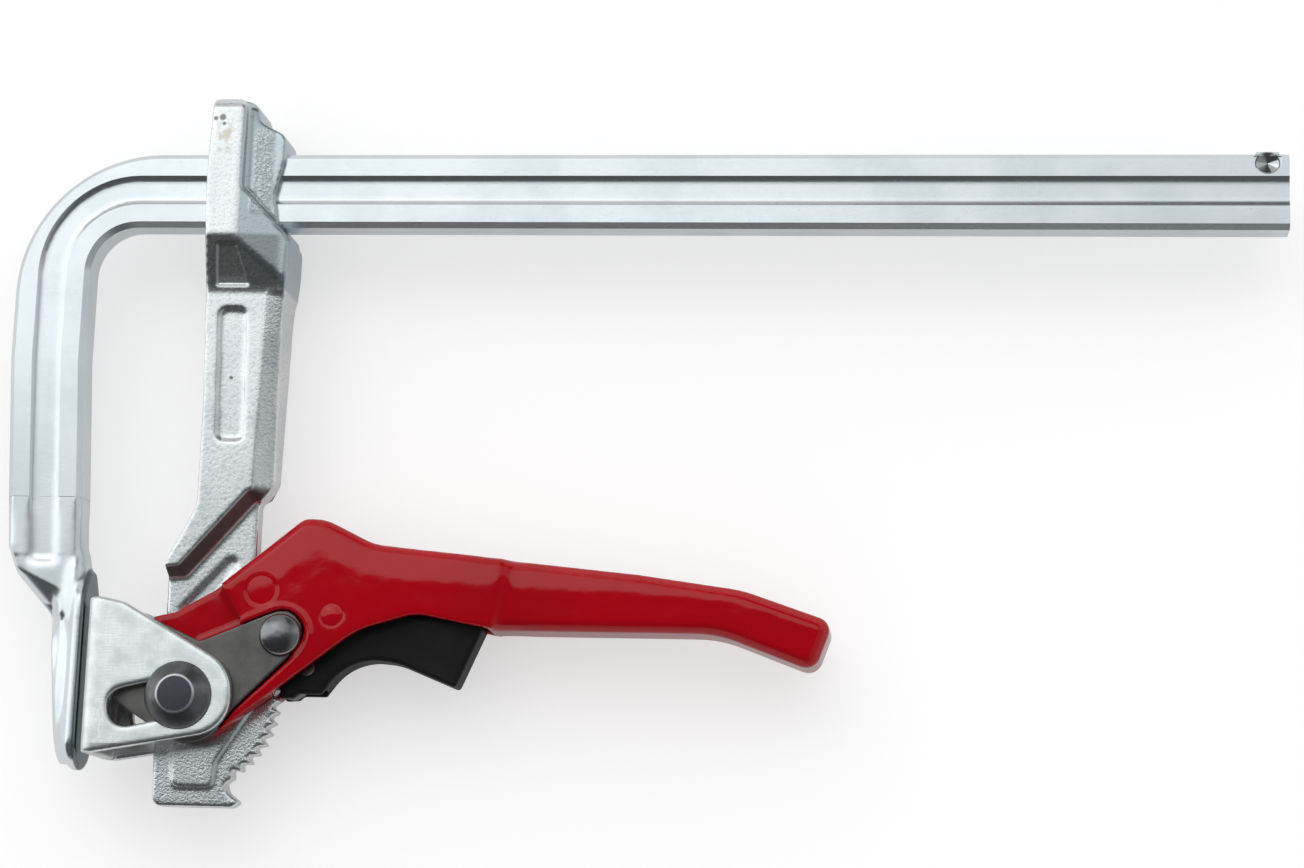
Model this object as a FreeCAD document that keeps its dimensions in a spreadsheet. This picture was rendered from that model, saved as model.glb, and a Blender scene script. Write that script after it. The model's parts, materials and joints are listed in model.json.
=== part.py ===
"""Lever clamp: a forged rail with its fixed jaw, a sliding arm, a cam lever and a folded pressure jaw.

Frame, in millimetres: the origin is the centre of the fixed jaw's flat face. +X runs along the rail,
away from the fixed jaw. +Y runs from the jaws to the rail. +Z is the thickness of the clamp, which
lies on its side. Every form is symmetrical about Z = 0 unless its comment says otherwise.
"""
import FreeCAD, Part
import math
import os

import Sketcher

Vector = FreeCAD.Vector

# Driving dimensions: alias, value in millimetres or degrees, and what it is
DIMENSIONS = [
    ("rail_length", 324.7, "outer side of the fixed arm to the rail's free end"),
    ("rail_height", 19.5, "rail section in Y"),
    ("rail_thick", 9.5, "rail section in Z"),
    ("rail_chamfer", 1.35, "chamfer on the long edges of the rail"),
    ("groove_width", 7.7, "groove in each side of the rail"),
    ("groove_depth", 1.2, "depth of that groove"),
    ("groove_bend_radius", 22.0, "bend of the groove's centre line"),
    ("throat_depth", 117.25, "jaw centre to the rail's lower edge"),
    ("fixed_arm_back", 25.0, "jaw face to the outer side of the fixed arm"),
    ("bend_outer_radius", 37.0, "outer bend between rail and fixed arm"),
    ("bend_inner_radius", 12.0, "inner bend between rail and fixed arm"),
    ("arm_bow", 2.8, "how far the fixed arm leans in at its lower end"),
    ("shoulder_height", 27.5, "jaw centre to the shoulder where the arm narrows"),
    ("neck_back", 9.7, "jaw face to the back of the neck"),
    ("neck_thick", 7.2, "neck in Z"),
    ("neck_drop", 10.0, "jaw centre to the lower end of the neck"),
    ("pad_width", 14.8, "fixed jaw pad in Z"),
    ("pad_rise", 27.5, "jaw centre to the top of the pad"),
    ("pad_drop", 23.0, "jaw centre to the bottom of the pad"),
    ("pad_thick", 5.2, "pad in X"),
    ("pad_rim", 2.2, "straight rim of the pad in front of its tapered back"),
    ("pad_bevel", 0.7, "bevel round the jaw face"),
    ("stop_inset", 5.3, "rail's free end to the centre of the staked mark"),
    ("stop_length", 6.8, "staked mark along the rail"),
    ("stop_width", 4.7, "staked mark across the rail"),
    ("stop_depth", 1.3, "depth of the staked mark"),
    ("stop_lip", 0.7, "metal that the mark raises above the rail's edge"),
    ("jaw_gap", 2.4, "distance between the jaw faces as modelled"),
    ("slide_clearance", 0.2, "play of the head on the rail, each side"),
    ("head_left", 25.4, "jaw face to the head's left side"),
    ("head_width", 20.2, "head along the rail at its top wall"),
    ("head_rise", 14.1, "metal of the head above the rail"),
    ("head_thick", 20.6, "head rib in Z"),
    ("rib_width", 9.2, "rib of the head along the rail"),
    ("rib_flat", 8.1, "flat of that rib, before its facet"),
    ("facet_slope", 0.16, "fall of the facet in Z per length in X"),
    ("slope_drop", 17.9, "rail's lower edge to the foot of the sloping shoulder"),
    ("cheek_thick", 15.0, "head cheek beside the rib in Z"),
    ("beam_left", 27.3, "jaw face to the beam's left side at its lower end"),
    ("beam_right", 45.6, "jaw face to the beam's right side at its lower end"),
    ("beam_shoulder", 47.6, "jaw face to the beam's right shoulder below the rail"),
    ("beam_thick", 14.8, "beam in Z"),
    ("beam_edge_top", 13.0, "beam's right edge in Z below the rail"),
    ("beam_edge_low", 4.4, "beam's right edge in Z at its lower end"),
    ("beam_land", 42.0, "jaw face to where the beam's flat gives way to its bevel"),
    ("web_left", 20.0, "jaw face to the web's left side"),
    ("web_thick", 5.2, "web, sector and foot in Z"),
    ("boss_rise", 0.7, "raised panel round the pivot, each side"),
    ("foot_drop", 31.5, "jaw centre to the bottom of the foot"),
    ("recess_depth", 0.8, "depth of the shallow panels in the forging"),
    ("recess_width", 7.4, "long panel across the beam"),
    ("recess_length", 34.8, "long panel along the beam"),
    ("pivot_x", 27.2, "jaw face to the pivot"),
    ("pivot_drop", 4.8, "jaw centre to the pivot, downwards"),
    ("pivot_radius", 4.8, "shank of the pivot pin"),
    ("pivot_head_radius", 8.4, "base of the conical head"),
    ("pivot_flat_radius", 4.7, "flat top of the conical head"),
    ("pivot_head_height", 3.4, "height of the conical head"),
    ("fit_clearance", 0.05, "radial clearance of every pin in its holes"),
    ("tooth_tip_radius", 23.0, "ratchet tips from the pivot"),
    ("tooth_depth", 1.8, "ratchet teeth"),
    ("tooth_pitch", 7.35, "degrees from tooth to tooth"),
    ("tooth_count", 10.0, "teeth of the sector"),
    ("tooth_first", -57.6, "degrees from +X to the lowest tooth tip"),
    ("pawl_clearance", 0.25, "pawl tips to sector tips"),
    ("cheek_gap", 6.8, "inner distance of the handle's front lugs"),
    ("root_length", 80.3, "pivot to the end of the handle's channel"),
    ("grip_length", 81.1, "end of the channel to the tip of the grip"),
    ("handle_sheet", 2.8, "sheet of the handle"),
    ("channel_width", 18.6, "handle channel in Z"),
    ("grip_width", 17.0, "grip in Z"),
    ("handle_bevel", 1.6, "bevel of the handle's long edges"),
    ("grip_bevel", 2.1, "bevel of the grip's long edges"),
    ("cam_thick", 3.4, "cam plate"),
    ("cam_lead", 11.5, "jaw travel along X per radian of the handle"),
    ("cam_clearance", 0.1, "cam to the pressure jaw's base"),
    ("cam_rivet_x", 51.4, "jaw face to the cam rivet"),
    ("cam_rivet_y", 11.0, "jaw centre to the cam rivet"),
    ("cam_rivet_radius", 3.0, "shank of the cam rivet"),
    ("cam_rivet_head_radius", 5.3, "domed head"),
    ("cam_rivet_head_height", 2.9, "domed head"),
    ("jaw_sheet", 2.8, "sheet of the pressure jaw"),
    ("jaw_width", 26.0, "pressure jaw in Z"),
    ("jaw_rise", 19.6, "jaw centre to the top of the pressure jaw"),
    ("jaw_drop", 19.4, "jaw centre to the bottom of the pressure jaw"),
    ("jaw_fold_radius", 3.2, "outer radius of the folds"),
    ("jaw_nose_radius", 11.0, "round end of each cheek"),
    ("slot_travel", 13.4, "slot centre to centre"),
    ("slot_angle", 12.9, "degrees that the slot rises"),
    ("slot_spare", 1.0, "slot left ahead of the pin"),
    ("trigger_x", 64.0, "jaw face to the trigger's pivot"),
    ("trigger_y", 16.4, "jaw centre to the trigger's pivot"),
    ("trigger_pin_radius", 2.0, "trigger pivot pin"),
    ("trigger_thick", 9.0, "trigger in Z"),
    ("pawl_thick", 4.6, "pawl in Z"),
    ("spacer_x", 45.8, "jaw face to the spacer rivet"),
    ("spacer_y", 22.3, "jaw centre to the spacer rivet"),
    ("spacer_radius", 2.4, "shank of the spacer rivet"),
    ("spacer_ring_radius", 4.3, "coated head of the spacer rivet"),
    ("trigger_ring_radius", 2.8, "coated head of the trigger pivot pin"),
    ("sleeve_wall", 0.9, "wall of the distance sleeves"),
    ("pawl_pin_x", 57.4, "jaw face to the pawl pin"),
    ("pawl_pin_y", 3.6, "jaw centre to the pawl pin"),
    ("pawl_pin_radius", 1.5, "pawl pin"),
    ("spring_wire", 0.8, "wire of the trigger spring"),
    ("spring_turns", 1.25, "turns of the trigger spring"),
    ("plate_clearance", 0.4, "cam plate to its window in the handle"),
]


class Size:
    """A length with the sheet expression that gives it, so that sketches stay bound to the sheet."""

    def __init__(self, value, text):
        self.value = float(value)
        self.text = text

    @staticmethod
    def of(other):
        """A Size as it is, and a plain number as a Size."""
        if isinstance(other, Size):
            return other
        return Size(other, "(%r)" % float(other))

    def __add__(self, other):
        other = Size.of(other)
        return Size(self.value + other.value, "(%s + %s)" % (self.text, other.text))

    def __radd__(self, other):
        return Size.of(other) + self

    def __sub__(self, other):
        other = Size.of(other)
        return Size(self.value - other.value, "(%s - %s)" % (self.text, other.text))

    def __rsub__(self, other):
        return Size.of(other) - self

    def __mul__(self, other):
        other = Size.of(other)
        return Size(self.value * other.value, "(%s * %s)" % (self.text, other.text))

    def __rmul__(self, other):
        return Size.of(other) * self

    def __truediv__(self, other):
        other = Size.of(other)
        return Size(self.value / other.value, "(%s / %s)" % (self.text, other.text))

    def __neg__(self):
        return Size(-self.value, "(-%s)" % self.text)


def cosine(degrees):
    """Cosine of an angle in degrees, kept bound to the sheet."""
    degrees = Size.of(degrees)
    return Size(math.cos(math.radians(degrees.value)), "cos(%s)" % degrees.text)


def sine(degrees):
    """Sine of an angle in degrees, kept bound to the sheet."""
    degrees = Size.of(degrees)
    return Size(math.sin(math.radians(degrees.value)), "sin(%s)" % degrees.text)


class Sizes:
    """The sheet's cells by alias, each as a Size."""

    def __init__(self, document):
        self.sheet = document.addObject("Spreadsheet::Sheet", "Dimensions")
        for row, (alias, value, note) in enumerate(DIMENSIONS, start=1):
            self.sheet.set("A%d" % row, alias)
            self.sheet.set("B%d" % row, "%g" % value)
            self.sheet.setAlias("B%d" % row, alias)
            self.sheet.set("C%d" % row, note)
        document.recompute()
        for alias, _, _ in DIMENSIONS:
            setattr(self, alias, Size(self.sheet.get(alias), "Dimensions." + alias))


doc = FreeCAD.newDocument("lever_clamp")
d = Sizes(doc)

# Places that several pieces share
rail_low = d.throat_depth
rail_top = d.throat_depth + d.rail_height
rail_mid = d.throat_depth + d.rail_height / 2
rail_end = d.rail_length - d.fixed_arm_back
pivot_y = -d.pivot_drop
lug_inner = d.cheek_gap / 2
lug_outer = lug_inner + d.handle_sheet
cam_outer = lug_outer + d.cam_thick
panel_outer = d.channel_width / 2
panel_inner = panel_outer - d.handle_sheet
jaw_outer = d.jaw_width / 2
jaw_inner = jaw_outer - d.jaw_sheet


def new_body(label):
    """A body whose label names its file."""
    body = doc.addObject("PartDesign::Body", label)
    body.Label = label
    return body


def bind(thing, name, size):
    """Set a property from a Size through the sheet."""
    size = Size.of(size)
    thing.setExpression(name, size.text)


def place(body, x=0, y=0, z=0):
    """Put a body's own origin at a place of the clamp's frame."""
    bind(body, "Placement.Base.x", x)
    bind(body, "Placement.Base.y", y)
    bind(body, "Placement.Base.z", z)


def settled(feature):
    """Recompute the document and stop if the feature has failed."""
    doc.recompute()
    if feature.Shape.isNull() or "Invalid" in feature.State or "Touched" in feature.State:
        raise RuntimeError("%s has failed: %s" % (feature.Label, feature.State))
    return feature


def new_sketch(body, name, role="XY_Plane", lift=0):
    """A sketch on one of the body's own planes, lifted along that plane's normal."""
    sketch = body.newObject("Sketcher::SketchObject", name)
    planes = [feature for feature in body.Origin.OriginFeatures if feature.Role == role]
    sketch.AttachmentSupport = (planes[0], [""])
    sketch.MapMode = "FlatFace"
    lift = Size.of(lift)
    if lift.value:
        sketch.AttachmentOffset = FreeCAD.Placement(Vector(0, 0, lift.value), FreeCAD.Rotation())
        bind(sketch, "AttachmentOffset.Base.z", lift)
    return sketch


def outline(sketch, corners):
    """A closed outline whose corners are tied to the sheet. A corner with a third size is rounded."""
    corners = [tuple(Size.of(size) for size in corner) for corner in corners]
    count = len(corners)
    ends = [rounded(corners[i - 1], corners[i], corners[(i + 1) % count]) for i in range(count)]
    first = sketch.GeometryCount
    sides = []
    for i in range(count):
        sides.append(Part.LineSegment(ends[i][-1], ends[(i + 1) % count][0]))
    sketch.addGeometry(sides, False)
    ties = []
    bound = []
    for i, corner in enumerate(corners):
        before = first + (i - 1) % count
        after = first + i
        if len(corner) == 2:
            ties.append(Sketcher.Constraint("Coincident", before, 2, after, 1))
            bound.append((len(ties), "DistanceX", after, 1, corner[0]))
            ties.append(Sketcher.Constraint("DistanceX", -1, 1, after, 1, corner[0].value))
            bound.append((len(ties), "DistanceY", after, 1, corner[1]))
            ties.append(Sketcher.Constraint("DistanceY", -1, 1, after, 1, corner[1].value))
            continue
        entry, centre, exit_point = ends[i]
        left = (entry - centre).cross(exit_point - centre).z > 0
        low, high = (entry, exit_point) if left else (exit_point, entry)
        start = math.atan2(low.y - centre.y, low.x - centre.x)
        stop = math.atan2(high.y - centre.y, high.x - centre.x)
        ring = Part.Circle(centre, Vector(0, 0, 1), corner[2].value)
        arc = sketch.addGeometry(Part.ArcOfCircle(ring, start, stop), False)
        peak = sketch.addGeometry(Part.Point(Vector(corner[0].value, corner[1].value, 0)), True)
        ties.append(Sketcher.Constraint("Tangent", before, 2, arc, 1 if left else 2))
        ties.append(Sketcher.Constraint("Tangent", arc, 2 if left else 1, after, 1))
        ties.append(Sketcher.Constraint("PointOnObject", peak, 1, before))
        ties.append(Sketcher.Constraint("PointOnObject", peak, 1, after))
        bound.append((len(ties), "Radius", arc, 0, corner[2]))
        ties.append(Sketcher.Constraint("Radius", arc, corner[2].value))
        bound.append((len(ties), "DistanceX", peak, 1, corner[0]))
        ties.append(Sketcher.Constraint("DistanceX", -1, 1, peak, 1, corner[0].value))
        bound.append((len(ties), "DistanceY", peak, 1, corner[1]))
        ties.append(Sketcher.Constraint("DistanceY", -1, 1, peak, 1, corner[1].value))
    start = sketch.ConstraintCount
    sketch.addConstraint(ties)
    for number, _, _, _, size in bound:
        bind(sketch, "Constraints[%d]" % (start + number), size)
    return sketch


def rounded(before, corner, after):
    """Where a corner's arc starts, its centre and where it ends; a sharp corner gives its own point."""
    peak = Vector(corner[0].value, corner[1].value, 0)
    if len(corner) == 2:
        return (peak,)
    back = (Vector(before[0].value, before[1].value, 0) - peak).normalize()
    ahead = (Vector(after[0].value, after[1].value, 0) - peak).normalize()
    half = back.getAngle(ahead) / 2
    reach = corner[2].value / math.tan(half)
    middle = (back + ahead).normalize()
    centre = peak + middle * (corner[2].value / math.sin(half))
    return peak + back * reach, centre, peak + ahead * reach


def circle(sketch, x, y, radius):
    """A circle with its centre and radius tied to the sheet."""
    x, y, radius = Size.of(x), Size.of(y), Size.of(radius)
    ring = sketch.addGeometry(Part.Circle(Vector(x.value, y.value, 0), Vector(0, 0, 1), radius.value), False)
    start = sketch.ConstraintCount
    sketch.addConstraint([
        Sketcher.Constraint("DistanceX", -1, 1, ring, 3, x.value),
        Sketcher.Constraint("DistanceY", -1, 1, ring, 3, y.value),
        Sketcher.Constraint("Radius", ring, radius.value),
    ])
    for i, size in enumerate((x, y, radius)):
        bind(sketch, "Constraints[%d]" % (start + i), size)
    return sketch


def pad(body, name, sketch, length, taper=0):
    """A pad as thick as length, half on each side of its sketch."""
    feature = body.newObject("PartDesign::Pad", name)
    feature.Profile = sketch
    feature.SideType = "Symmetric"
    bind(feature, "Length", length)
    if taper:
        feature.TaperAngle = taper
        feature.TaperAngle2 = taper
    return settled(feature)


def rise(body, name, sketch, length, backwards=False, taper=0.0):
    """A pad to one side of its sketch."""
    feature = body.newObject("PartDesign::Pad", name)
    feature.Profile = sketch
    feature.Reversed = backwards
    bind(feature, "Length", length)
    feature.TaperAngle = taper
    return settled(feature)


def cut_through(body, name, sketch):
    """A pocket through the whole body, both ways from its sketch."""
    before = body.Shape.Volume
    feature = body.newObject("PartDesign::Pocket", name)
    feature.Profile = sketch
    feature.SideType = "Two sides"
    feature.Type = "ThroughAll"
    feature.Type2 = "ThroughAll"
    settled(feature)
    check_cut(body, name, before)
    return feature


def cut_depth(body, name, sketch, depth, forwards=False, taper=0.0):
    """A pocket of a given depth to one side of its sketch: against its normal, or along it."""
    before = body.Shape.Volume
    feature = body.newObject("PartDesign::Pocket", name)
    feature.Profile = sketch
    feature.Reversed = forwards
    bind(feature, "Length", depth)
    feature.TaperAngle = taper
    settled(feature)
    check_cut(body, name, before)
    return feature


def check_cut(body, name, before):
    """Stop if a cut has taken nothing away."""
    if body.Shape.Volume >= before - 1e-6:
        raise RuntimeError("%s of %s cuts nothing" % (name, body.Label))


def mirrored(body, name, features):
    """The same features on the other side of Z = 0."""
    feature = body.newObject("PartDesign::Mirrored", name)
    feature.Originals = features
    planes = [item for item in body.Origin.OriginFeatures if item.Role == "XY_Plane"]
    feature.MirrorPlane = (planes[0], [""])
    body.Tip = feature
    return settled(feature)


def edges_where(shape, test):
    """Names of the edges whose every sampled point passes a test."""
    names = []
    for number, edge in enumerate(shape.Edges, start=1):
        if edge.Length < 1e-3:
            continue
        first, last = edge.ParameterRange
        samples = [edge.valueAt(first + (last - first) * part) for part in (0.0, 0.25, 0.5, 0.75, 1.0)]
        if all(test(point) for point in samples):
            names.append("Edge%d" % number)
    return names


def round_edges(body, name, base, names, radius):
    """A fillet on named edges."""
    if not names:
        raise RuntimeError("%s of %s finds no edge" % (name, body.Label))
    feature = body.newObject("PartDesign::Fillet", name)
    feature.Base = (base, names)
    bind(feature, "Radius", radius)
    return settled(feature)


def bevel_edges(body, name, base, names, size):
    """An even chamfer on named edges."""
    if not names:
        raise RuntimeError("%s of %s finds no edge" % (name, body.Label))
    feature = body.newObject("PartDesign::Chamfer", name)
    feature.Base = (base, names)
    bind(feature, "Size", size)
    return settled(feature)


def turned(label, profile, x, y):
    """A turned piece about an axis along Z: profile is its half section as radius and Z."""
    body = new_body(label)
    sketch = outline(new_sketch(body, label + "_profile", "XZ_Plane"), profile)
    feature = body.newObject("PartDesign::Revolution", label + "_turn")
    feature.Profile = sketch
    feature.ReferenceAxis = (sketch, ["V_Axis"])
    feature.Angle = 360
    doc.recompute()
    place(body, x, y)
    doc.recompute()
    return body, feature


def make_rail_with_fixed_jaw():
    """Rail, fixed arm, neck and pad, forged in one piece."""
    body = new_body("rail_with_fixed_jaw")
    back = -d.fixed_arm_back
    arm_inner = back + d.rail_height
    bow_start = rail_low - 35
    shoulder = d.shoulder_height
    bow_back = back + d.arm_bow
    bow_inner = arm_inner + d.arm_bow
    neck_low = -d.neck_drop - 3
    neck_front = -d.pad_thick / 2

    side = outline(new_sketch(body, "side_outline"), [
        (rail_end, rail_top),
        (back, rail_top, d.bend_outer_radius),
        (back, bow_start),
        (bow_back, shoulder + 6),
        (bow_back + 2.6, shoulder - 1),
        (-d.neck_back, shoulder - 12),
        (neck_front, shoulder - 12),
        (neck_front, shoulder - 4),
        (bow_inner, shoulder + 4),
        (arm_inner, bow_start),
        (arm_inner, rail_low, d.bend_inner_radius),
        (rail_end, rail_low),
    ])
    solid = pad(body, "rail_and_arm", side, d.rail_thick)

    half = d.rail_thick.value / 2
    end_x = rail_end.value
    low_y = shoulder.value - 11.9
    edges = long_edges(solid.Shape, half, lambda middle: middle.x < end_x - 1 and middle.y > low_y)
    solid = bevel_edges(body, "long_chamfers", solid, edges, d.rail_chamfer)

    # The groove is swept with a round cutter along the middle of the section
    cutter_radius = Size.of(
        (d.groove_width.value ** 2 / 4 + d.groove_depth.value ** 2) / (2 * d.groove_depth.value))
    cutter_lift = d.rail_thick / 2 - d.groove_depth + cutter_radius
    groove_x = (back + arm_inner) / 2
    path = groove_path(body, groove_x, bow_start, cutter_lift)
    profile = new_sketch(body, "groove_section", "YZ_Plane", rail_end + 5)
    circle(profile, rail_mid, cutter_lift, cutter_radius)
    groove = body.newObject("PartDesign::SubtractivePipe", "groove")
    groove.Profile = profile
    groove.Spine = (path, ["Edge%d" % number for number in range(1, len(path.Shape.Edges) + 1)])
    before = solid.Shape.Volume
    doc.recompute()
    if groove.Shape.Volume >= before:
        raise RuntimeError("the groove cuts nothing")
    mirrored(body, "groove_behind", [groove])

    # The neck is thinner than the arm and runs down behind the pad
    neck = outline(new_sketch(body, "neck_outline"), [
        (bow_back + 6, shoulder + 2),
        (-d.neck_back - 0.6, shoulder - 10),
        (-d.neck_back + 1.6, 4 - d.neck_drop),
        (-d.pad_thick + 0.6, neck_low),
        (neck_front, neck_low),
        (neck_front, shoulder - 2),
    ])
    pad(body, "neck", neck, d.neck_thick)

    # The pad is an oval plate across the neck, whose back tapers like a spoon
    half_pad = d.pad_width / 2
    half_arm = d.rail_thick / 2
    oval = [
        (d.pad_rise, 1.4 - half_arm),
        (d.pad_rise - 7, -half_pad, 7),
        (-d.pad_drop, -half_pad, half_pad - 0.05),
        (-d.pad_drop, half_pad, half_pad - 0.05),
        (d.pad_rise - 7, half_pad, 7),
        (d.pad_rise, half_arm - 1.4),
    ]
    front = outline(new_sketch(body, "pad_outline", "YZ_Plane"), oval)
    plate = rise(body, "pad", front, d.pad_rim, backwards=True)
    face_edges = edges_where(plate.Shape, lambda point: abs(point.x) < 1e-5 and point.y < d.pad_rise.value - 0.5)
    bevel_edges(body, "jaw_bevel", plate, face_edges, d.pad_bevel)
    rear = outline(new_sketch(body, "pad_back_outline", "YZ_Plane", -d.pad_rim), oval)
    rise(body, "pad_back", rear, d.pad_thick - d.pad_rim, backwards=True, taper=-40.0)

    # Staked stop mark: a dent near the rail's end, whose metal stands up as a lip
    mark = rail_end - d.stop_inset
    mark_top = rail_top + d.stop_lip
    half_mark = d.stop_length / 2
    lip = outline(new_sketch(body, "stop_lip_outline", lift=d.rail_thick / 2 - d.rail_chamfer - 2), [
        (mark - half_mark, rail_top - 1),
        (mark - half_mark + 0.6, mark_top, 0.3),
        (mark + half_mark - 0.6, mark_top, 0.3),
        (mark + half_mark, rail_top - 1),
    ])
    rise(body, "stop_lip", lip, 2)
    dent = outline(new_sketch(body, "stop_dent_outline", lift=d.rail_thick / 2 - d.stop_depth), [
        (mark - half_mark, rail_top - 0.5),
        (mark - half_mark, rail_top - d.stop_width + 0.7, 1),
        (mark + half_mark, rail_top - d.stop_width + 0.7, 1),
        (mark + half_mark, rail_top - 0.5),
    ])
    cut_depth(body, "stop_dent", dent, d.stop_depth + 1, forwards=True)
    return body


def groove_path(body, groove_x, bow_start, lift):
    """Centre line of the groove: along the rail, round the bend and down the bowed arm."""
    sketch = new_sketch(body, "groove_path", "XY_Plane", lift)
    radius = d.groove_bend_radius
    start = rail_end + 5
    low_x = groove_x + d.arm_bow
    low_y = d.shoulder_height + 2
    top = Part.LineSegment(Vector(start.value, rail_mid.value, 0),
                           Vector((groove_x + radius).value, rail_mid.value, 0))
    bend = Part.ArcOfCircle(
        Part.Circle(Vector((groove_x + radius).value, (rail_mid - radius).value, 0), Vector(0, 0, 1),
                    radius.value), math.pi / 2, math.pi)
    down = Part.LineSegment(Vector(groove_x.value, (rail_mid - radius).value, 0),
                            Vector(groove_x.value, bow_start.value, 0))
    lean = Part.LineSegment(Vector(groove_x.value, bow_start.value, 0), Vector(low_x.value, low_y.value, 0))
    sketch.addGeometry([top, bend, down, lean], False)
    ties = [
        Sketcher.Constraint("Coincident", 0, 2, 1, 1),
        Sketcher.Constraint("Coincident", 1, 2, 2, 1),
        Sketcher.Constraint("Coincident", 2, 2, 3, 1),
        Sketcher.Constraint("DistanceX", -1, 1, 0, 1, start.value),
        Sketcher.Constraint("DistanceY", -1, 1, 0, 1, rail_mid.value),
        Sketcher.Constraint("DistanceX", -1, 1, 1, 3, (groove_x + radius).value),
        Sketcher.Constraint("DistanceY", -1, 1, 1, 3, (rail_mid - radius).value),
        Sketcher.Constraint("DistanceX", -1, 1, 0, 2, (groove_x + radius).value),
        Sketcher.Constraint("DistanceY", -1, 1, 0, 2, rail_mid.value),
        Sketcher.Constraint("DistanceY", -1, 1, 1, 2, (rail_mid - radius).value),
        Sketcher.Constraint("DistanceX", -1, 1, 2, 2, groove_x.value),
        Sketcher.Constraint("DistanceY", -1, 1, 2, 2, bow_start.value),
        Sketcher.Constraint("DistanceX", -1, 1, 3, 2, low_x.value),
        Sketcher.Constraint("DistanceY", -1, 1, 3, 2, low_y.value),
    ]
    sketch.addConstraint(ties)
    places = [start, rail_mid, groove_x + radius, rail_mid - radius, groove_x + radius, rail_mid,
              rail_mid - radius, groove_x, bow_start, low_x, low_y]
    for number, size in enumerate(places, start=3):
        bind(sketch, "Constraints[%d]" % number, size)
    doc.recompute()
    return sketch


def slab(body, name, corners, length):
    """A pad of an outline, as thick as length and centred on Z = 0."""
    return pad(body, name, outline(new_sketch(body, name + "_outline"), corners), length)


def cut_middle(body, name, corners, length):
    """A pocket of an outline, as wide as length and centred on Z = 0."""
    before = body.Shape.Volume
    feature = body.newObject("PartDesign::Pocket", name)
    feature.Profile = outline(new_sketch(body, name + "_outline"), corners)
    feature.SideType = "Symmetric"
    bind(feature, "Length", length)
    settled(feature)
    check_cut(body, name, before)
    return feature


def cut_outside(body, name, corners, level, depth=10):
    """A pocket of an outline from one level outward, and the same behind."""
    sketch = outline(new_sketch(body, name + "_outline", lift=level), corners)
    feature = cut_depth(body, name, sketch, depth, forwards=True)
    return mirrored(body, name + "_behind", [feature])


def bore(body, name, x, y, radius):
    """A round hole through the whole body."""
    return cut_through(body, name, circle(new_sketch(body, name + "_circle"), x, y, radius))


def long_edges(shape, level, test):
    """Names of the edges that lie at plus or minus one level and pass a test of their middle point."""
    flat = edges_where(shape, lambda point: abs(abs(point.z) - level) < 1e-4)
    return [name for name in flat if test(shape.getElement(name).CenterOfMass)]


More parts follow.
